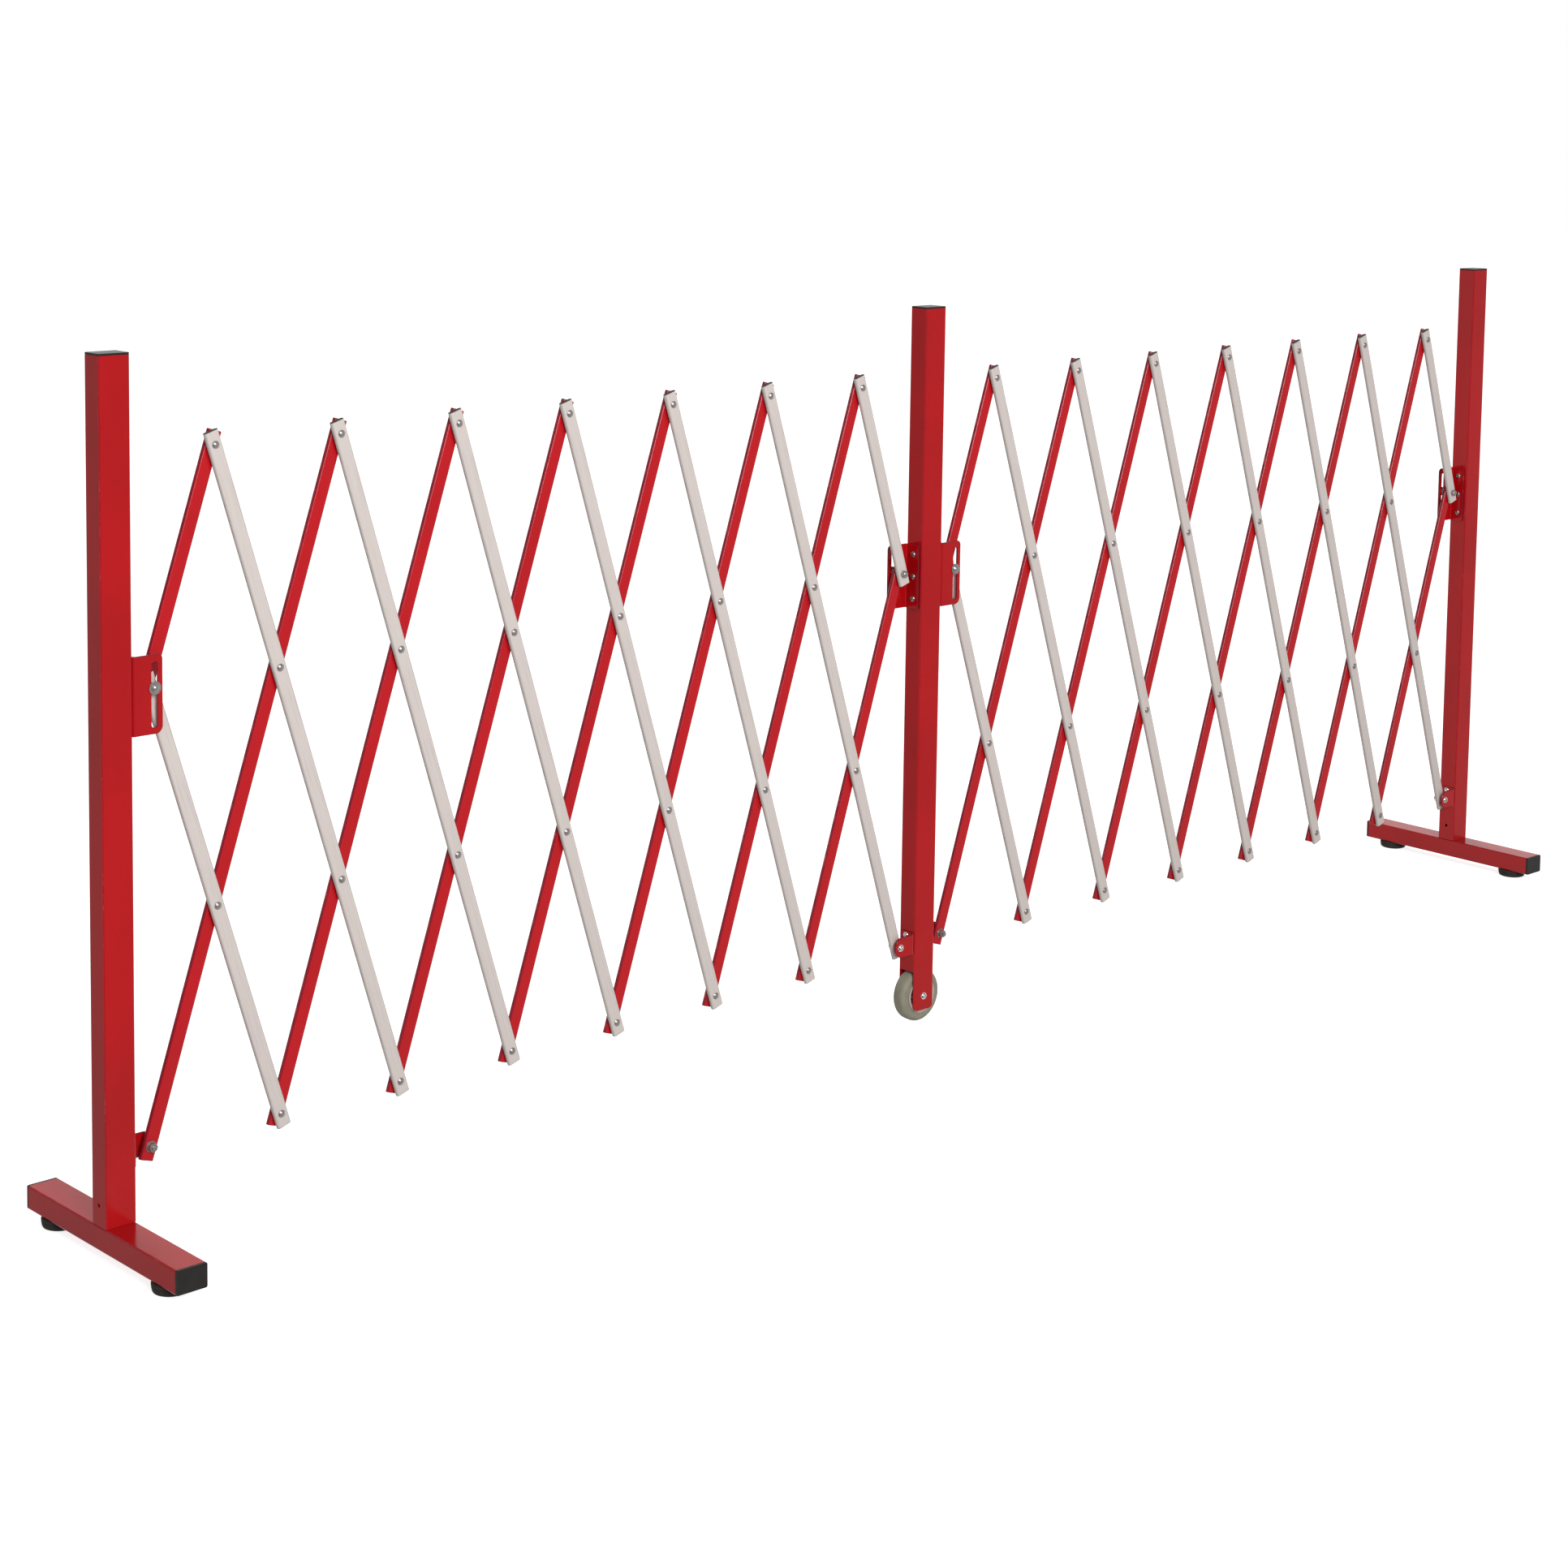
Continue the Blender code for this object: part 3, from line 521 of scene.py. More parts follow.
# Posts, their plug caps and the cross feet.
postLook = {"corner": 0.0020, "cornerSteps": 5, "wall": 0.0015, "drainRadius": 0.0025, "drainHeight": 0.063}
capLook = {"soften": 0.0004, "seat": 0.0001, "plugDepth": 0.012, "plugGap": 0.0003}
# Marks at the tubes' rounded corners, for wear and a light painted shade
postMarks = cornerMarks(postLook["cornerSteps"])


def postShell(low, high, x):
    # The tube's outline carried up along Z; the inside corners are tighter by half a wall
    outer = roundedOutline(postWidth, postDepth, postLook["corner"], postLook["cornerSteps"])
    wall = postLook["wall"]
    inner = roundedOutline(postWidth - 2 * wall, postDepth - 2 * wall, postLook["corner"] - wall / 2,
                           postLook["cornerSteps"])
    return tubeShell(outer, inner, low, high, (x, 0, 0), alongZ, postMarks)


def capShells(width, depth, low, high, centre, directions):
    # A rim as wide as the tube with a soft edge, and the plug under it that fills the tube's mouth
    rim = roundedOutline(width, depth, postLook["corner"], postLook["cornerSteps"])
    wall = postLook["wall"] + capLook["plugGap"]
    plug = roundedOutline(width - 2 * wall, depth - 2 * wall, postLook["corner"] / 2, postLook["cornerSteps"])
    inset = np.array([width / 2, depth / 2])
    sign = 1 if high > low else -1
    low = low + sign * capLook["seat"]
    return [softBlock(rim, inset, min(low, high), max(low, high), capLook["soften"], centre, directions),
            skin(sweep([plug, plug], [low - sign * capLook["plugDepth"], low], centre, directions))]


def makePost(name, body, cutters):
    low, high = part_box(f"{name}_post")
    x = (low.x + high.x) / 2
    makePiece(f"{name}PostTube", [postShell(low.z, high.z, x)], redPaint, body, [f"{name}_post"],
              cutters)
    makePiece(f"{name}PostCap",
              capShells(postWidth, postDepth, high.z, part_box(f"{name}_post_cap")[1].z, (x, 0, 0), alongZ),
              glossCapPlastic, body, [f"{name}_post_cap"])


def makeFoot(side, x, body):
    low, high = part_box(f"{side}_foot_bar")
    height = high.z - low.z
    middle = (x, 0, (low.z + high.z) / 2)
    outer = roundedOutline(postWidth, height, postLook["corner"], postLook["cornerSteps"])
    wall = 2 * postLook["wall"]
    inner = roundedOutline(postWidth - wall, height - wall, postLook["corner"] / 2, postLook["cornerSteps"])
    makePiece(f"{side}FootTube", [tubeShell(outer, inner, low.y, high.y, middle, alongY, postMarks)], redPaint,
              body, [f"{side}_foot_bar"])
    for place, seat, corner in (("front", low.y, 0), ("back", high.y, 1)):
        node = f"{side}_foot_cap_{place}"
        makePiece(f"{side}FootCap{place.title()}",
                  capShells(postWidth, height, seat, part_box(node)[corner].y, middle, alongY),
                  capPlastic, body, [node])


for side in ("left", "right"):
    low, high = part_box(f"{side}_post")
    x = (low.x + high.x) / 2
    drain = turned([(-postWidth, postLook["drainRadius"], 0), (0.0, postLook["drainRadius"], 0)],
                   (x, 0, postLook["drainHeight"]), axes((1, 0, 0), (0, 1, 0)))
    makePost(side, f"{side}_end", [drain])
    makeFoot(side, x, f"{side}_end")
print("posts and feet: made")


# Rubber pads: a round foot with a soft shoulder, a shallow groove and a hollow underside.
padLook = {"sides": 56, "shoulder": 0.0022, "groove": 0.0008, "taper": 0.0012, "hollow": 0.0150,
           "hollowDepth": 0.0012}


def padShell(node):
    # A profile of height and radius turned about Z: hollow underside, rising taper, groove and soft shoulder
    low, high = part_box(node)
    radius = (high.x - low.x) / 2
    height = high.z - low.z
    soft, taper = padLook["shoulder"], padLook["taper"]
    profile = [
        (padLook["hollowDepth"], padLook["hollow"] * 0.9), (0.0, padLook["hollow"]),
        (0.0, radius - soft - taper), (soft * 0.3, radius - soft * 0.3 - taper), (soft, radius - taper * 0.8),
        (height * 0.55, radius - taper * 0.2), (height * 0.62, radius - padLook["groove"]),
        (height * 0.70, radius), (height * 0.90, radius), (height * 0.98, radius - soft * 0.3),
        (height, radius - soft),
    ]
    return turned([(z, r, 0) for z, r in profile], ((low.x + high.x) / 2, (low.y + high.y) / 2, low.z), alongZ,
                  padLook["sides"])


for side in ("left", "right"):
    for place in ("front", "back"):
        node = f"{side}_foot_pad_{place}"
        makePiece(f"{side}FootPad{place.title()}", [padShell(node)], padRubber, f"{side}_end", [node])
print("pads: made")


# Middle post: its side walls stop over the wheel, and its front and back walls hang down as the fork's tabs.
forkLook = {"sideWallBottom": 0.0730, "tabCorner": 0.0080, "cornerLines": 9, "axleHole": 0.0045,
            "cornerLip": 0.0003, "slabCorner": 0.0001}
middleX = (middlePostLow.x + middlePostHigh.x) / 2
wheelLow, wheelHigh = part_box("wheel_tyre")
axleHeight = (wheelLow.z + wheelHigh.z) / 2
innerHalf = halfDepth - postLook["wall"]


def forkCutters():
    # A block between the tabs, the axle's hole, and what lies outside a quarter circle at each tab's lower corner
    half = innerHalf - forkLook["cornerLip"]
    slab = roundedOutline(2 * postWidth, 2 * half, forkLook["slabCorner"], 1)
    cutters = [skin(sweep([slab, slab], [-postWidth, forkLook["sideWallBottom"]], (middleX, 0, 0), alongZ))]
    radius = forkLook["tabCorner"]
    angle = np.linspace(0.0, math.pi / 2, forkLook["cornerLines"])
    for sign in (-1, 1):
        arc = np.stack([sign * (postWidth / 2 - radius + radius * np.cos(angle)),
                        radius - radius * np.sin(angle)], axis=1)
        rest = np.array([[sign * (postWidth / 2 - radius), -radius], [sign * (postWidth / 2 + radius), -radius],
                         [sign * (postWidth / 2 + radius), radius]])
        outline = np.concatenate([arc, rest])
        points = np.stack([outline[:, 0] + middleX, np.zeros(len(outline)),
                           outline[:, 1] + middlePostLow.z], axis=1)
        cutters.append(skin(np.stack([points - [0, postDepth, 0], points + [0, postDepth, 0]])))
    hole = forkLook["axleHole"]
    cutters.append(turned([(-postDepth, hole, 0), (postDepth, hole, 0)], (middleX, 0, axleHeight)))
    return cutters


makePost("middle", "middle", forkCutters())


# Wheel: a soft grey tyre with a crease at each shoulder on a ribbed pale hub, and the axle bolt it turns on.
# Side rows are (share of the half width, distance out from the bead), crown rows (share, distance in from the
# rolling face).
wheelLook = {
    "sides": 96, "hubSides": 144, "hubRadius": 0.0215, "hubHalf": 0.0120, "webHalf": 0.0030, "ribs": 6,
    "ribHalfWidth": 0.0012, "ribHalf": 0.0085, "ribFade": 1.6, "rimWidth": 0.0012, "bossRadius": 0.0085,
    "boreRadius": 0.0045, "flangeRadius": 0.0248, "flangeHalf": 0.0119, "flangeSeat": 0.0113, "beadGap": 0.0003,
    "sideRows": ((0.90, 0.0), (1.0, 0.0006), (1.0, 0.0022), (0.93, 0.0034)),
    "crownRows": ((0.93, 0.0072), (0.97, 0.0058), (0.93, 0.0042), (0.78, 0.0021), (0.70, 0.0013),
                  (0.64, 0.0012), (0.56, 0.0005), (0.30, 0.0001), (0.0, 0.0)),
}


def wheelGrid(rows, halves, angle):
    # Circles about the axle: X and Z from radius and angle, Y from the rows' distances to the wheel's middle
    return np.stack([middleX + rows * np.cos(angle), halves + 0 * angle, axleHeight + rows * np.sin(angle)], axis=2)


def tyreShell():
    # Half the section runs from the bead over the side lip, the hollow wall and the shoulder's crease to the
    # crown, and the other half mirrors it
    outerRadius = (wheelHigh.z - wheelLow.z) / 2
    half = (wheelHigh.y - wheelLow.y) / 2
    bead = wheelLook["hubRadius"] + wheelLook["beadGap"]
    section = [(-half * share, bead + out) for share, out in wheelLook["sideRows"]]
    section += [(-half * share, outerRadius - drop) for share, drop in wheelLook["crownRows"]]
    section += [(-y, r) for y, r in section[-2::-1]]
    angle = 2 * math.pi * np.arange(wheelLook["sides"]) / wheelLook["sides"]
    y, r = np.array(section).T[:, :, None]
    return skin(wheelGrid(r, y, angle), closeRows=True)


def hubShell():
    # Circles of growing radius. The web's half thickness grows to the ribs' near each of their radial lines, by
    # ribFade less the distance in half widths, kept between 0 and 1.
    look = wheelLook
    angle = 2 * math.pi * np.arange(look["hubSides"]) / look["hubSides"]
    bore, boss, rim = look["boreRadius"], look["bossRadius"], look["hubRadius"] - look["rimWidth"]
    hub, flange, face, seat = look["hubHalf"], look["flangeRadius"], look["flangeHalf"], look["flangeSeat"]
    # Rows of radius and half thickness: boss, web, rim, and the flange that laps over the tyre's side with its
    # face, rounded edge and underside
    rows = [(bore, hub - 0.0004), (bore + 0.0008, hub), (boss - 0.0006, hub), (boss, hub - 0.0008),
            *[(r, look["webHalf"]) for r in np.linspace(boss + 0.0004, rim, 6)],
            (rim + 0.0003, face - 0.0012), (rim + 0.0009, face - 0.0004), (rim + 0.0018, face),
            (flange - 0.0006, face), (flange - 0.0001, face - 0.0002), (flange, face - 0.0005),
            (flange - 0.0003, seat), (look["hubRadius"], seat)]
    radii, halves = np.array(rows).T[:, :, None]
    part = 2 * math.pi / look["ribs"]
    offset = np.abs((angle + part / 2) % part - part / 2) * radii
    rib = np.clip(look["ribFade"] - offset / look["ribHalfWidth"], 0.0, 1.0)
    half = np.where(halves == look["webHalf"], halves + (look["ribHalf"] - halves) * rib, halves + 0 * angle)
    front = wheelGrid(radii, -half, angle)
    return skin(np.concatenate([front, front[::-1] * [1, -1, 1]]), closeRows=True)


makePiece("wheelTyre", [tyreShell()], tyreRubber, "wheel", ["wheel_tyre"])
makePiece("wheelHub", [hubShell()], hubPlastic, "wheel", ["wheel_hub"])


# Fasteners, each turned about the Y axis: heads stand towards the sign that they are given. Rows are (share of the
# height, share of the radius, sides of a polygon or 0 for round).
fastener = {"sides": 24, "rivetSides": 20, "gap": 0.0003}
sizes = {
    "rivetRadius": 0.0045, "rivetHeight": 0.0024, "tailHeight": 0.0015, "shankRadius": 0.0025,
    "pinRadius": 0.0030, "pinHead": 0.0052, "pinHeight": 0.0030, "socket": 0.0017,
    "washerRadius": 0.0075, "nutWasher": 0.0064, "washerThickness": 0.0012, "nutRadius": 0.0056,
    "nutHeight": 0.0060, "screwRadius": 0.0042, "screwHeight": 0.0022, "screwSocket": 0.0019,
    "layerWasher": 0.0062, "washerGap": 0.0001, "axleRadius": 0.0040, "axleStud": 0.0036,
    "axleWasher": 0.0065, "axlePlay": 0.0004,
}


def profileRows(shape, face, sign, radius, height):
    return [(face + sign * height * h, radius * r, flats) for h, r, flats in shape]


def buttonHead(face, sign, radius, height, socket):
    # A low dome with a six-sided key hole
    hole = socket / radius
    shape = [(0.0, 1.0, 0), (0.12, 1.0, 0), (0.45, 0.90, 0), (0.75, 0.72, 0), (0.93, 0.52, 0),
             (0.97, hole * 1.15, 0), (0.90, hole, 6), (0.25, hole * 0.92, 6)]
    return profileRows(shape, face, sign, radius, height)


def rivetHead(face, sign, radius, height):
    # A smooth dome: height falls with the square of the radius, above a low straight rim
    share = np.array([1.0, 1.0, 0.93, 0.82, 0.68, 0.52, 0.34, 0.15])
    lift = 1.0 - 0.88 * share ** 2
    lift[0] = 0.0
    return profileRows(zip(lift, share, [0] * len(share)), face, sign, radius, height)


def rivetTail(face, sign, radius, height):
    # A rolled-over tail: a low ring round a deep dent
    shape = [(0.0, 0.92, 0), (0.35, 1.0, 0), (0.75, 0.92, 0), (1.0, 0.70, 0), (0.95, 0.50, 0), (0.60, 0.40, 0),
             (0.10, 0.34, 0)]
    return profileRows(shape, face, sign, radius, height)


def hexNut(face, sign, radius, height):
    # A six-sided nut whose corners are turned down at both faces
    shape = [(0.0, 0.88, 0), (0.10, 1.0, 6), (0.82, 1.0, 6), (0.97, 0.86, 0), (1.0, 0.80, 0)]
    return profileRows(shape, face, sign, radius, height)


def capNut(face, sign, radius, height):
    # A six-sided foot under a round dome
    shape = [(0.0, 0.88, 0), (0.06, 1.0, 6), (0.40, 1.0, 6), (0.50, 0.86, 0), (0.66, 0.83, 0), (0.82, 0.70, 0),
             (0.94, 0.45, 0), (1.0, 0.16, 0)]
    return profileRows(shape, face, sign, radius, height)


def washer(face, sign, radius, thickness):
    # A flat disc whose two edges are broken
    return profileRows([(0.0, 0.97, 0), (0.2, 1.0, 0), (0.8, 1.0, 0), (1.0, 0.97, 0)], face, sign, radius, thickness)


def studEnd(face, sign, radius, length):
    # The bolt's threaded end: shallow rings at the thread's pitch
    turns = 5
    rows = [(0.0, 0.9, 0)]
    for k in range(turns):
        rows += [((k + 0.4) / turns, 1.0, 0), ((k + 0.9) / turns, 0.82, 0)]
    return profileRows([*rows, (1.0, 0.7, 0)], face, sign, radius, length)


def shank(start, end, radius):
    # A plain round rod from start to end
    return [(start, radius, 0), (end, radius, 0)]


def fastenerShells(profiles, x, z, sides=fastener["sides"]):
    return [turned(profile, (x, 0, z), alongY, sides) for profile in profiles]


axleFace = halfDepth + fastener["gap"]
axleNut = sizes["nutHeight"] * 0.8
washerSeat = innerHalf - sizes["washerGap"]
washerReach = innerHalf - wheelLook["hubHalf"] - sizes["axlePlay"]
makePiece("wheelAxle", fastenerShells([
    buttonHead(-axleFace, -1, sizes["pinHead"], sizes["pinHeight"], sizes["socket"]),
    shank(-axleFace, axleFace, sizes["axleRadius"]),
    washer(-washerSeat, 1, sizes["axleWasher"], washerReach),
    washer(washerSeat, -1, sizes["axleWasher"], washerReach),
    hexNut(axleFace, 1, sizes["nutRadius"], axleNut),
    studEnd(axleFace + axleNut, 1, sizes["axleStud"], sizes["nutHeight"] - axleNut),
], middleX, axleHeight), brightSteel, "middle", ["wheel_axle"])
print("middle post and wheel: made")


# Brackets: a sheet bent round the post's corner. The plate stands out along X, the flange lies on the post.
bracketLook = {"bend": 0.0040, "bendSteps": 10, "cornerSteps": 8, "flangeDepth": 0.0245, "soften": 0.0005,
               "edgeBand": 0.0014, "hair": 0.00001}
plateStart = sheet["seat"] + bracketLook["bend"]


def plateShell(outer, hole, yFront, yBack, place):
    # Rows of the outline and then of the hole, across both faces of the plate. Along the faces the outline is
    # drawn in and the hole widened, by the softened edge and by the band, but not where the plate meets the bend.
    soft = bracketLook["soften"]
    centreOuter, centreHole = outer.mean(axis=0), hole.mean(axis=0)
    start = outer[:, 0].min()
    joined = outer[:, :1] < start + bracketLook["hair"]

    def moved(outline, centre, amount):
        away = outline - centre
        shifted = outline + away / np.linalg.norm(away, axis=1, keepdims=True) * amount
        return np.where(joined & (outline is outer), [start, 0.0] + shifted * [0, 1], shifted)

    step = soft if yBack > yFront else -soft
    band = bracketLook["edgeBand"]
    rows = [(moved(outer, centreOuter, -band), yFront), (moved(outer, centreOuter, -soft), yFront),
            (outer, yFront + step), (outer, yBack - step),
            (moved(outer, centreOuter, -soft), yBack), (moved(outer, centreOuter, -band), yBack),
            (moved(hole, centreHole, band), yBack), (moved(hole, centreHole, soft), yBack),
            (hole, yBack - step), (hole, yFront + step),
            (moved(hole, centreHole, soft), yFront), (moved(hole, centreHole, band), yFront)]
    grid = np.stack([np.stack([o[:, 0], np.full(len(o), y), o[:, 1]], axis=1) for o, y in rows])
    # The marks put painted shade and wear on the outline's and the hole's edges, but not where the plate meets the
    # bend
    marks = np.tile([0.0, 0.8, 1.0, 1.0, 0.8, 0.0], 2)[:, None] * np.where(joined[:, 0], 0.0, 1.0)
    return skin(place(grid), closeRows=True, edge=marks)


def plateOutline(bottom, top, upper, lower):
    # A plate's outline in X and Z: both outer corners are rounded and the inner ones are square
    low, high, steps = plateStart, sheet["reach"], bracketLook["cornerSteps"]
    quarter = np.linspace(0.0, math.pi / 2, steps + 1)
    inward = low + bracketLook["edgeBand"] * np.linspace(1.0, 0.0, steps + 1)
    upperArc = np.stack([high - upper + upper * np.cos(quarter), top - upper + upper * np.sin(quarter)], axis=1)
    lowerArc = np.stack([high - lower + lower * np.sin(quarter), bottom + lower - lower * np.cos(quarter)], axis=1)
    along = np.stack([inward, np.full(steps + 1, top)], axis=1)
    back = np.stack([inward[::-1], np.full(steps + 1, bottom)], axis=1)
    return np.concatenate([upperArc, along, back, lowerArc])


def slotOutline(bottom, top, width):
    # A slot with half-round ends about the pivots' line; the ends keep a hair's width of straight side
    outline = roundedOutline(width, top - bottom, width / 2 - bracketLook["hair"], bracketLook["cornerSteps"])
    return outline + [pivotReach, (bottom + top) / 2]


def bendSection(side):
    # The sheet's two faces seen from above: round the post's corner from the plate and along the flange
    bend = bracketLook["bend"]
    thickness = sheet["thickness"]
    angle = np.linspace(0.0, math.pi / 2, bracketLook["bendSteps"] + 1)
    outerY, cornerX = side * halfDepth, sheet["seat"]
    arcs = [np.stack([cornerX + bend - radius * np.sin(angle), outerY - side * (bend - radius * np.cos(angle))],
                     axis=1) for radius in (bend, bend - thickness)]
    flangeEnd = side * (halfDepth - bracketLook["flangeDepth"])
    nearEnd = flangeEnd + side * bracketLook["edgeBand"]
    return [np.concatenate([arc, [[x, nearEnd], [x, flangeEnd]]])
            for arc, x in zip(arcs, (cornerX, cornerX + thickness))]


def bracketShells(side, postFace, turnedRound, plate, hole, low, high, screws):
    # The plate, the bend with its flange carried from low to high, and a screw's head at each of the heights
    def place(points):
        # Half a turn about Z for a bracket on a left-hand face
        return points * ([-1, -1, 1] if turnedRound else [1, 1, 1]) + [postFace, 0, 0]

    outer, inner = bendSection(side)
    # The flange's free edge is slightly rounded and takes the edge's mark, so that it is painted dark as shade
    tip = (outer[-1] + inner[-1]) / 2 + [0.0, -side * bracketLook["soften"]]
    ring = np.concatenate([outer, [tip], inner[::-1]])
    flange = np.stack([np.concatenate([ring, np.full((len(ring), 1), z)], axis=1) for z in (low, high)])
    marks = np.zeros(len(ring))
    marks[len(outer) - 1:len(outer) + 2] = 1.0
    shells = [plateShell(plate, hole, side * halfDepth, side * plateInner, place),
              skin(place(flange), edge=marks)]
    flip = -1 if turnedRound else 1
    seatX = postFace + flip * (sheet["seat"] + sheet["thickness"])
    head = buttonHead(0.0, 1, sizes["screwRadius"], sizes["screwHeight"], sizes["screwSocket"])
    return shells, [turned(head, (seatX, 0, height), axes((flip, 0, 0), (0, 1, 0))) for height in screws]


slotLow, slotHigh = (corner.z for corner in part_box("left_slot_bracket"))
slotMiddle = (slotLow + slotHigh) / 2
slotLook = {"upperCorner": 0.0055, "lowerCorner": 0.0085, "width": 0.0080, "below": 0.0070, "above": 0.0082,
            "screwSpacing": 0.0305}
earLook = {"half": 0.0140, "corner": 0.0125, "flangeTop": 0.0155, "screwUpper": 0.0105, "screwLower": 0.0065,
           "hole": 0.0036, "nutLower": 0.0012, "studLength": 0.0008, "studSink": 0.0010}
pivotZ = lattice["lowerPivotHeight"]
for name, body, face, turnedRound, node in (
        ("left", "left_end", leftPostHigh.x, False, "left_slot_bracket"),
        ("middleLeft", "middle", middlePostLow.x, True, "middle_slot_bracket_left"),
        ("middleRight", "middle", middlePostHigh.x, False, "middle_slot_bracket_right"),
        ("right", "right_end", rightPostLow.x, True, "right_slot_bracket")):
    shells, heads = bracketShells(
        -1, face, turnedRound, plateOutline(slotLow, slotHigh, slotLook["upperCorner"], slotLook["lowerCorner"]),
        slotOutline(slotLow + slotLook["below"], slotHigh - slotLook["above"], slotLook["width"]),
        slotLow, slotHigh, [slotMiddle - slotLook["screwSpacing"], slotMiddle, slotMiddle + slotLook["screwSpacing"]])
    makePiece(f"{name}SlotBracket", shells, bracketPaint, body, [node])
    makePiece(f"{name}SlotScrews", heads, screwSteel, body)
    hole = earLook["hole"]
    shells, heads = bracketShells(
        1, face, turnedRound,
        plateOutline(pivotZ - earLook["half"], pivotZ + earLook["half"], earLook["corner"], earLook["corner"]),
        slotOutline(pivotZ - hole, pivotZ + hole, 2 * hole - 4 * bracketLook["hair"]),
        pivotZ - earLook["half"], pivotZ + earLook["flangeTop"],
        [pivotZ + earLook["screwUpper"], pivotZ - earLook["screwLower"]])
    makePiece(f"{name}PivotBracket", shells, bracketPaint, body, [node.replace("slot", "pivot")])
    if turnedRound:
        # Here the bracket's own bolt holds a front bar
        barBack = -lattice["layerGap"] / 2
        heads += fastenerShells([
            buttonHead(-plateOuter, -1, sizes["pinHead"], sizes["pinHeight"], sizes["socket"]),
            shank(-plateOuter, barBack, sizes["pinRadius"]),
            hexNut(barBack + fastener["gap"], 1, sizes["nutRadius"], sizes["nutHeight"] - earLook["nutLower"]),
            studEnd(barBack + sizes["nutHeight"] - earLook["studSink"], 1, sizes["pinRadius"], earLook["studLength"]),
        ], face - pivotReach, pivotZ)
    makePiece(f"{name}PivotScrews", heads, brightSteel, body)
print("brackets: made")


# Lattice bars: flat-oval tubes with a black plug in each end, and the rivets and pins fixed in the back bars.
barLook = {"ovalSteps": 7, "flatSide": 0.00002, "tubeSoften": 0.0003, "tubeSteps": 2, "plugRim": 0.0004,
           "plugSoften": 0.0002, "plugShare": 0.985}


def nodeAt(layer, k, level):
    # Pitches from the lattice's left edge to this bar's pivot on a level
    return 2 * (k - 1) + level if layer == "back" else 2 * (k + 1) - level


def pivotAt(side, node, level):
    # A level's rise and the pitch are the short sides of a triangle whose long side is the pivots' spacing
    pitch = lattice["pitch"][side]
    rise = math.sqrt(lattice["pivotSpacing"] ** 2 - pitch ** 2)
    return np.array([lattice["firstX"][side] + node * pitch, 0.0, lattice["lowerPivotHeight"] + level * rise])


frontFace = lattice["layerGap"] / 2 + lattice["barThickness"]
gap = fastener["gap"]
lastBar = lattice["barsPerLayer"] - 1


def pivotProfiles(k, level):
    # What is fixed in a back bar at this pivot, as profiles about Y
    head, pinHead = sizes["rivetRadius"], sizes["pinHead"]
    tail = rivetTail(frontFace, 1, head, sizes["tailHeight"])
    seat = lattice["layerGap"] / 2
    between = washer(-seat + sizes["washerGap"], 1, sizes["layerWasher"],
                     lattice["layerGap"] - 2 * sizes["washerGap"])
    washerFace = plateOuter + gap + sizes["washerThickness"]
    if (k, level) == (0, 2):
        # Sliding pin of the left-hand slot
        return [tail, between, shank(-plateOuter - gap, frontFace, sizes["pinRadius"]),
                washer(-frontFace - gap, -1, pinHead, plateInner - frontFace - 2 * gap),
                washer(-plateOuter - gap, -1, sizes["washerRadius"], sizes["washerThickness"]),
                rivetHead(-washerFace, -1, pinHead, sizes["pinHeight"])]
    if (k, level) == (lastBar, 2):
        # Sliding pin of the right-hand slot
        return [buttonHead(washerFace, 1, pinHead, sizes["pinHeight"], sizes["socket"]), between,
                washer(plateOuter + gap, 1, sizes["washerRadius"], sizes["washerThickness"]),
                shank(-frontFace, plateOuter + gap, sizes["pinRadius"]),
                washer(frontFace, 1, pinHead, plateInner - frontFace - gap),
                capNut(-frontFace - gap, -1, sizes["nutRadius"], sizes["nutHeight"])]
    if (k, level) == (1, 0):
        # Bolt of the lower pivot
        nutSeat = seat - sizes["washerThickness"]
        return [buttonHead(plateOuter + gap, 1, pinHead, sizes["pinHeight"], sizes["socket"]),
                shank(frontFace, plateOuter + gap, sizes["pinRadius"]),
                washer(frontFace, 1, pinHead, plateInner - frontFace - gap),
                washer(seat, -1, sizes["nutWasher"], sizes["washerThickness"]),
                hexNut(nutSeat, -1, sizes["nutRadius"], sizes["nutHeight"]),
                studEnd(nutSeat - sizes["nutHeight"], -1, sizes["pinRadius"], sizes["rivetHeight"])]
    return [tail, between, rivetHead(-frontFace - gap, -1, head, sizes["rivetHeight"] - gap / 2),
            shank(-frontFace - gap, frontFace, sizes["shankRadius"])]


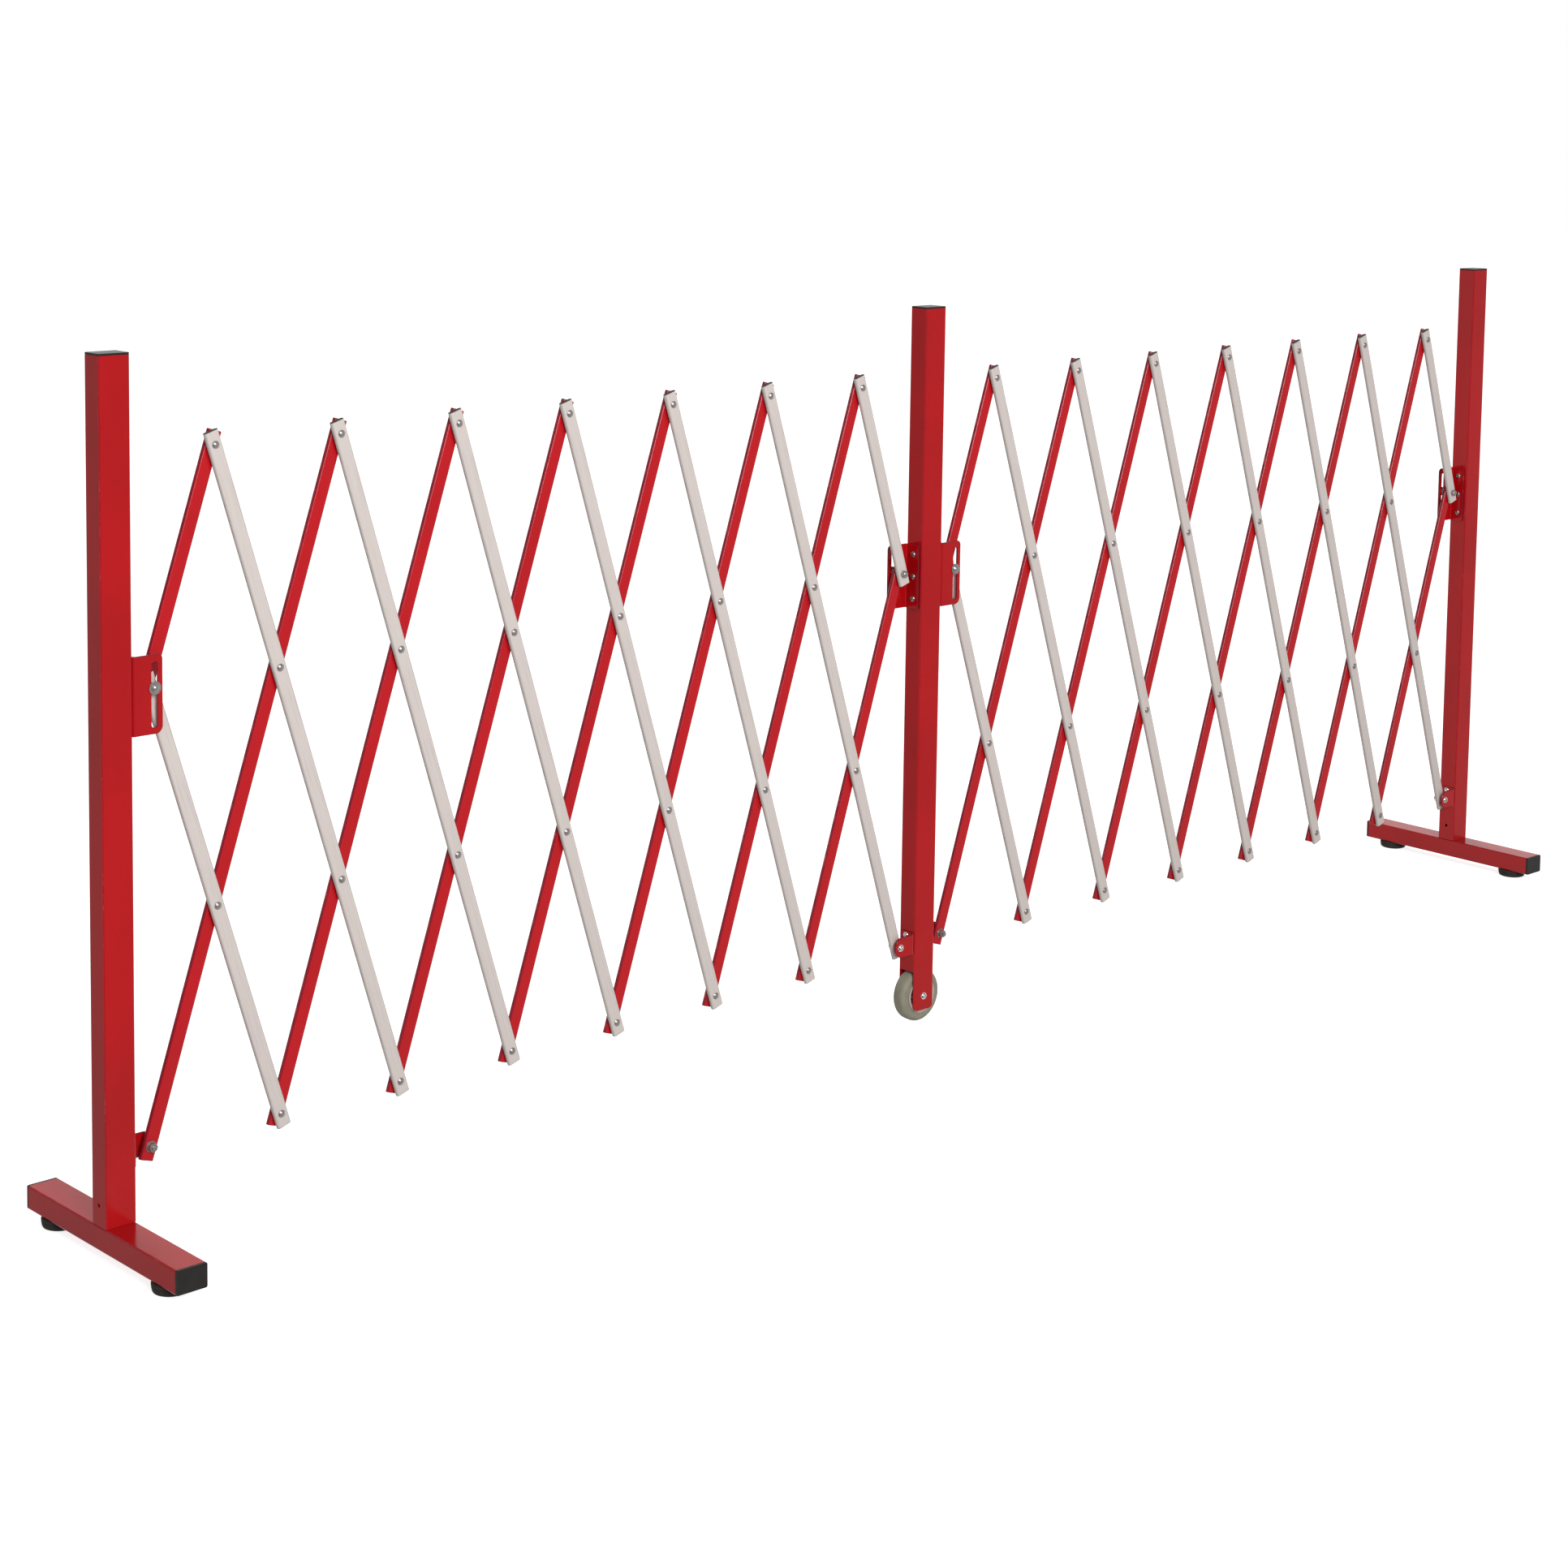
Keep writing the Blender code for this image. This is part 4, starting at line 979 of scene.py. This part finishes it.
def barShells(side, layer, k):
    # The oval outline carried from the bar's lowest pivot to its highest, and past both by the end's reach
    levels = [m for m in range(lattice["levels"]) if 0 <= nodeAt(layer, k, m) <= lattice["nodes"]]
    ends = [pivotAt(side, nodeAt(layer, k, m), m) for m in (levels[0], levels[-1])]
    climb = pivotAt(side, nodeAt(layer, k, 1), 1) - pivotAt(side, nodeAt(layer, k, 0), 0)
    along = climb / np.linalg.norm(climb)
    across = np.cross((0, 1, 0), along)
    directions = np.stack([across, [0.0, 1.0, 0.0], along])
    y = (1 if layer == "back" else -1) * (lattice["layerGap"] + lattice["barThickness"]) / 2
    width, thickness = lattice["barWidth"], lattice["barThickness"]
    outline = roundedOutline(width, thickness, thickness / 2 - barLook["flatSide"], barLook["ovalSteps"])
    centre = ends[0] + [0, y, 0]
    length = np.linalg.norm(ends[1] - ends[0])
    low, high = -lattice["endReach"], length + lattice["endReach"]
    rim = barLook["plugRim"]
    inset = np.array([width / 2, thickness / 2])
    # The mark grows over the rounded sides, from 0 at the flat face to 1 at the outermost line; it places the painted
    # shade and the wear on the bar's sides
    marks = np.clip((np.abs(outline[:, 0]) - width / 2 + thickness / 2) / (thickness / 2), 0.0, 1.0)
    tube = softBlock(outline, inset, low + rim, high - rim, barLook["tubeSoften"], centre, directions, marks,
                     barLook["tubeSteps"])
    plugs = [softBlock(outline * barLook["plugShare"], inset, a, b, barLook["plugSoften"], centre, directions)
             for a, b in ((low, low + rim), (high - rim, high))]
    return tube, plugs, [(m, pivotAt(side, nodeAt(layer, k, m), m)) for m in levels]


for side in ("left", "right"):
    for layer, paint, slot in (("back", barRedPaint, "bar_red"), ("front", creamPaint, "bar_cream")):
        for k in range(lattice["barsPerLayer"]):
            body = f"{side}_{layer}_bar_{k}"
            label = f"{side}{layer.title()}Bar{k}"
            tube, plugs, pivots = barShells(side, layer, k)
            makePiece(label, [tube], paint, body, [body])
            makePiece(label + "Plugs", plugs, capPlastic, body)
            if layer == "back":
                shells = [shell for level, place in pivots for shell in fastenerShells(
                    pivotProfiles(k, level), place[0], place[2], fastener["rivetSides"])]
                makePiece(label + "Rivets", shells, rivetSteel, body)
print("lattice: made")


# Floor, world, light and camera. A lamp has a place, a power in watts and a size in metres, or for the sun a
# strength and an angle in degrees. A ramp is the part of a direction over which the backdrop's level changes.
studio = {
    "floorSize": 40.0, "floorDepth": 0.0004, "floorColour": 0.60, "floorGlow": 0.83, "ambient": 0.30,
    "frontLevel": 0.36, "frontRamp": (-0.60, -0.05), "leftLevel": 0.36, "leftRamp": (-0.45, -0.05),
    "farLeft": 0.42, "farLeftRamp": (-0.72, -0.86), "ceilingDrop": 0.35, "ceilingRamp": (0.10, 0.50),
    "softBox": ((-2.1, -5.6, 3.0), 280.0, 2.8), "backLight": ((1.5, 4.0, 3.5), 1.7, 30.0), "aimHeight": 0.5,
}


def makeFloor():
    half, depth = studio["floorSize"] / 2, studio["floorDepth"]
    mesh = bpy.data.meshes.new("floor")
    mesh.from_pydata([(-half, -half, -depth), (half, -half, -depth), (half, half, -depth), (-half, half, -depth)],
                     [], [(0, 1, 2, 3)])
    floor = bpy.data.objects.new("floor", mesh)
    bpy.context.scene.collection.objects.link(floor)
    material, tree, surface = newMaterial("paleFloor")
    surface.inputs["Base Color"].default_value = (*[studio["floorColour"]] * 3, 1.0)
    surface.inputs["Roughness"].default_value = 0.9
    surface.inputs["Specular IOR Level"].default_value = 0.0
    rays = addNode(tree, "ShaderNodeLightPath").outputs
    seen = mathNode(tree, "MAXIMUM", rays["Is Camera Ray"], rays["Is Transmission Ray"])
    glow = addNode(tree, "ShaderNodeEmission", None, {"Strength": product(tree, seen, studio["floorGlow"])})
    plain = addNode(tree, "ShaderNodeAddShader", None, {0: surface.outputs[0], 1: glow.outputs[0]})
    tree.links.new(plain.outputs[0], tree.nodes["Material Output"].inputs["Surface"])
    mesh.materials.append(material)
    floor.visible_glossy = False


def makeWorld():
    # The camera sees plain white. Gloss sees a white backdrop behind the barrier that is dim towards the front, the
    # left and the ceiling, and everything else gets the even level called ambient.
    world = bpy.data.worlds.new("studio")
    world.use_nodes = True
    bpy.context.scene.world = world
    tree = world.node_tree
    background = tree.nodes["Background"]
    background.inputs["Color"].default_value = (1.0, 1.0, 1.0, 1.0)
    direction = partsOf(tree, addNode(tree, "ShaderNodeTexCoord").outputs["Generated"])
    behind = product(tree, rampNode(tree, direction["Y"], *studio["frontRamp"]), 1.0 - studio["frontLevel"])
    middle = product(tree, rampNode(tree, direction["X"], *studio["leftRamp"]), 1.0 - studio["leftLevel"])
    farLeft = product(tree, rampNode(tree, direction["X"], *studio["farLeftRamp"]), studio["farLeft"])
    above = product(tree, rampNode(tree, direction["Z"], *studio["ceilingRamp"]), studio["ceilingDrop"])
    across = total(tree, middle, total(tree, studio["leftLevel"], farLeft))
    level = product(tree, total(tree, behind, studio["frontLevel"]), across)
    level = product(tree, level, mathNode(tree, "SUBTRACT", 1.0, above))
    rays = addNode(tree, "ShaderNodeLightPath").outputs
    clear = mathNode(tree, "MAXIMUM", rays["Is Camera Ray"], rays["Is Transmission Ray"])
    plain = product(tree, mathNode(tree, "SUBTRACT", 1.0, rays["Is Glossy Ray"]), studio["ambient"])
    strength = total(tree, plain, product(tree, rays["Is Glossy Ray"], level))
    tree.links.new(mathNode(tree, "MAXIMUM", strength, clear), background.inputs["Strength"])


def makeLamp(name, kind, place, energy, size):
    light = bpy.data.lights.new(name, kind)
    light.energy = energy
    if kind == "AREA":
        light.size = size
    else:
        light.angle = math.radians(size)
    lamp = bpy.data.objects.new(name, light)
    bpy.context.scene.collection.objects.link(lamp)
    lamp.location = place
    lamp.visible_camera = False
    lamp.visible_glossy = kind == "AREA"
    # Turned towards the barrier's middle; only the soft box shows in gloss
    tilt = math.atan2(math.hypot(place[0], place[1]), place[2] - studio["aimHeight"])
    lamp.rotation_euler = (tilt, 0.0, math.atan2(place[1], place[0]) + math.pi / 2)


view = {"place": (-2.87305, -2.7754, 1.30817), "turn": (84.291, -0.8146, -42.9297), "lens": 67.534,
        "sensor": 36.0, "shiftY": -0.26708}


def makeCamera():
    lens = bpy.data.cameras.new("camera")
    lens.sensor_width = view["sensor"]
    lens.lens = view["lens"]
    lens.shift_y = view["shiftY"]
    camera = bpy.data.objects.new("camera", lens)
    bpy.context.scene.collection.objects.link(camera)
    camera.location = view["place"]
    camera.rotation_euler = [math.radians(a) for a in view["turn"]]
    bpy.context.scene.camera = camera


makeFloor()
makeWorld()
makeLamp("softBox", "AREA", *studio["softBox"])
makeLamp("backLight", "SUN", *studio["backLight"])
makeCamera()
bpy.context.scene.view_settings.view_transform = "Standard"
bpy.context.view_layer.update()
print("stage, light and camera: made")
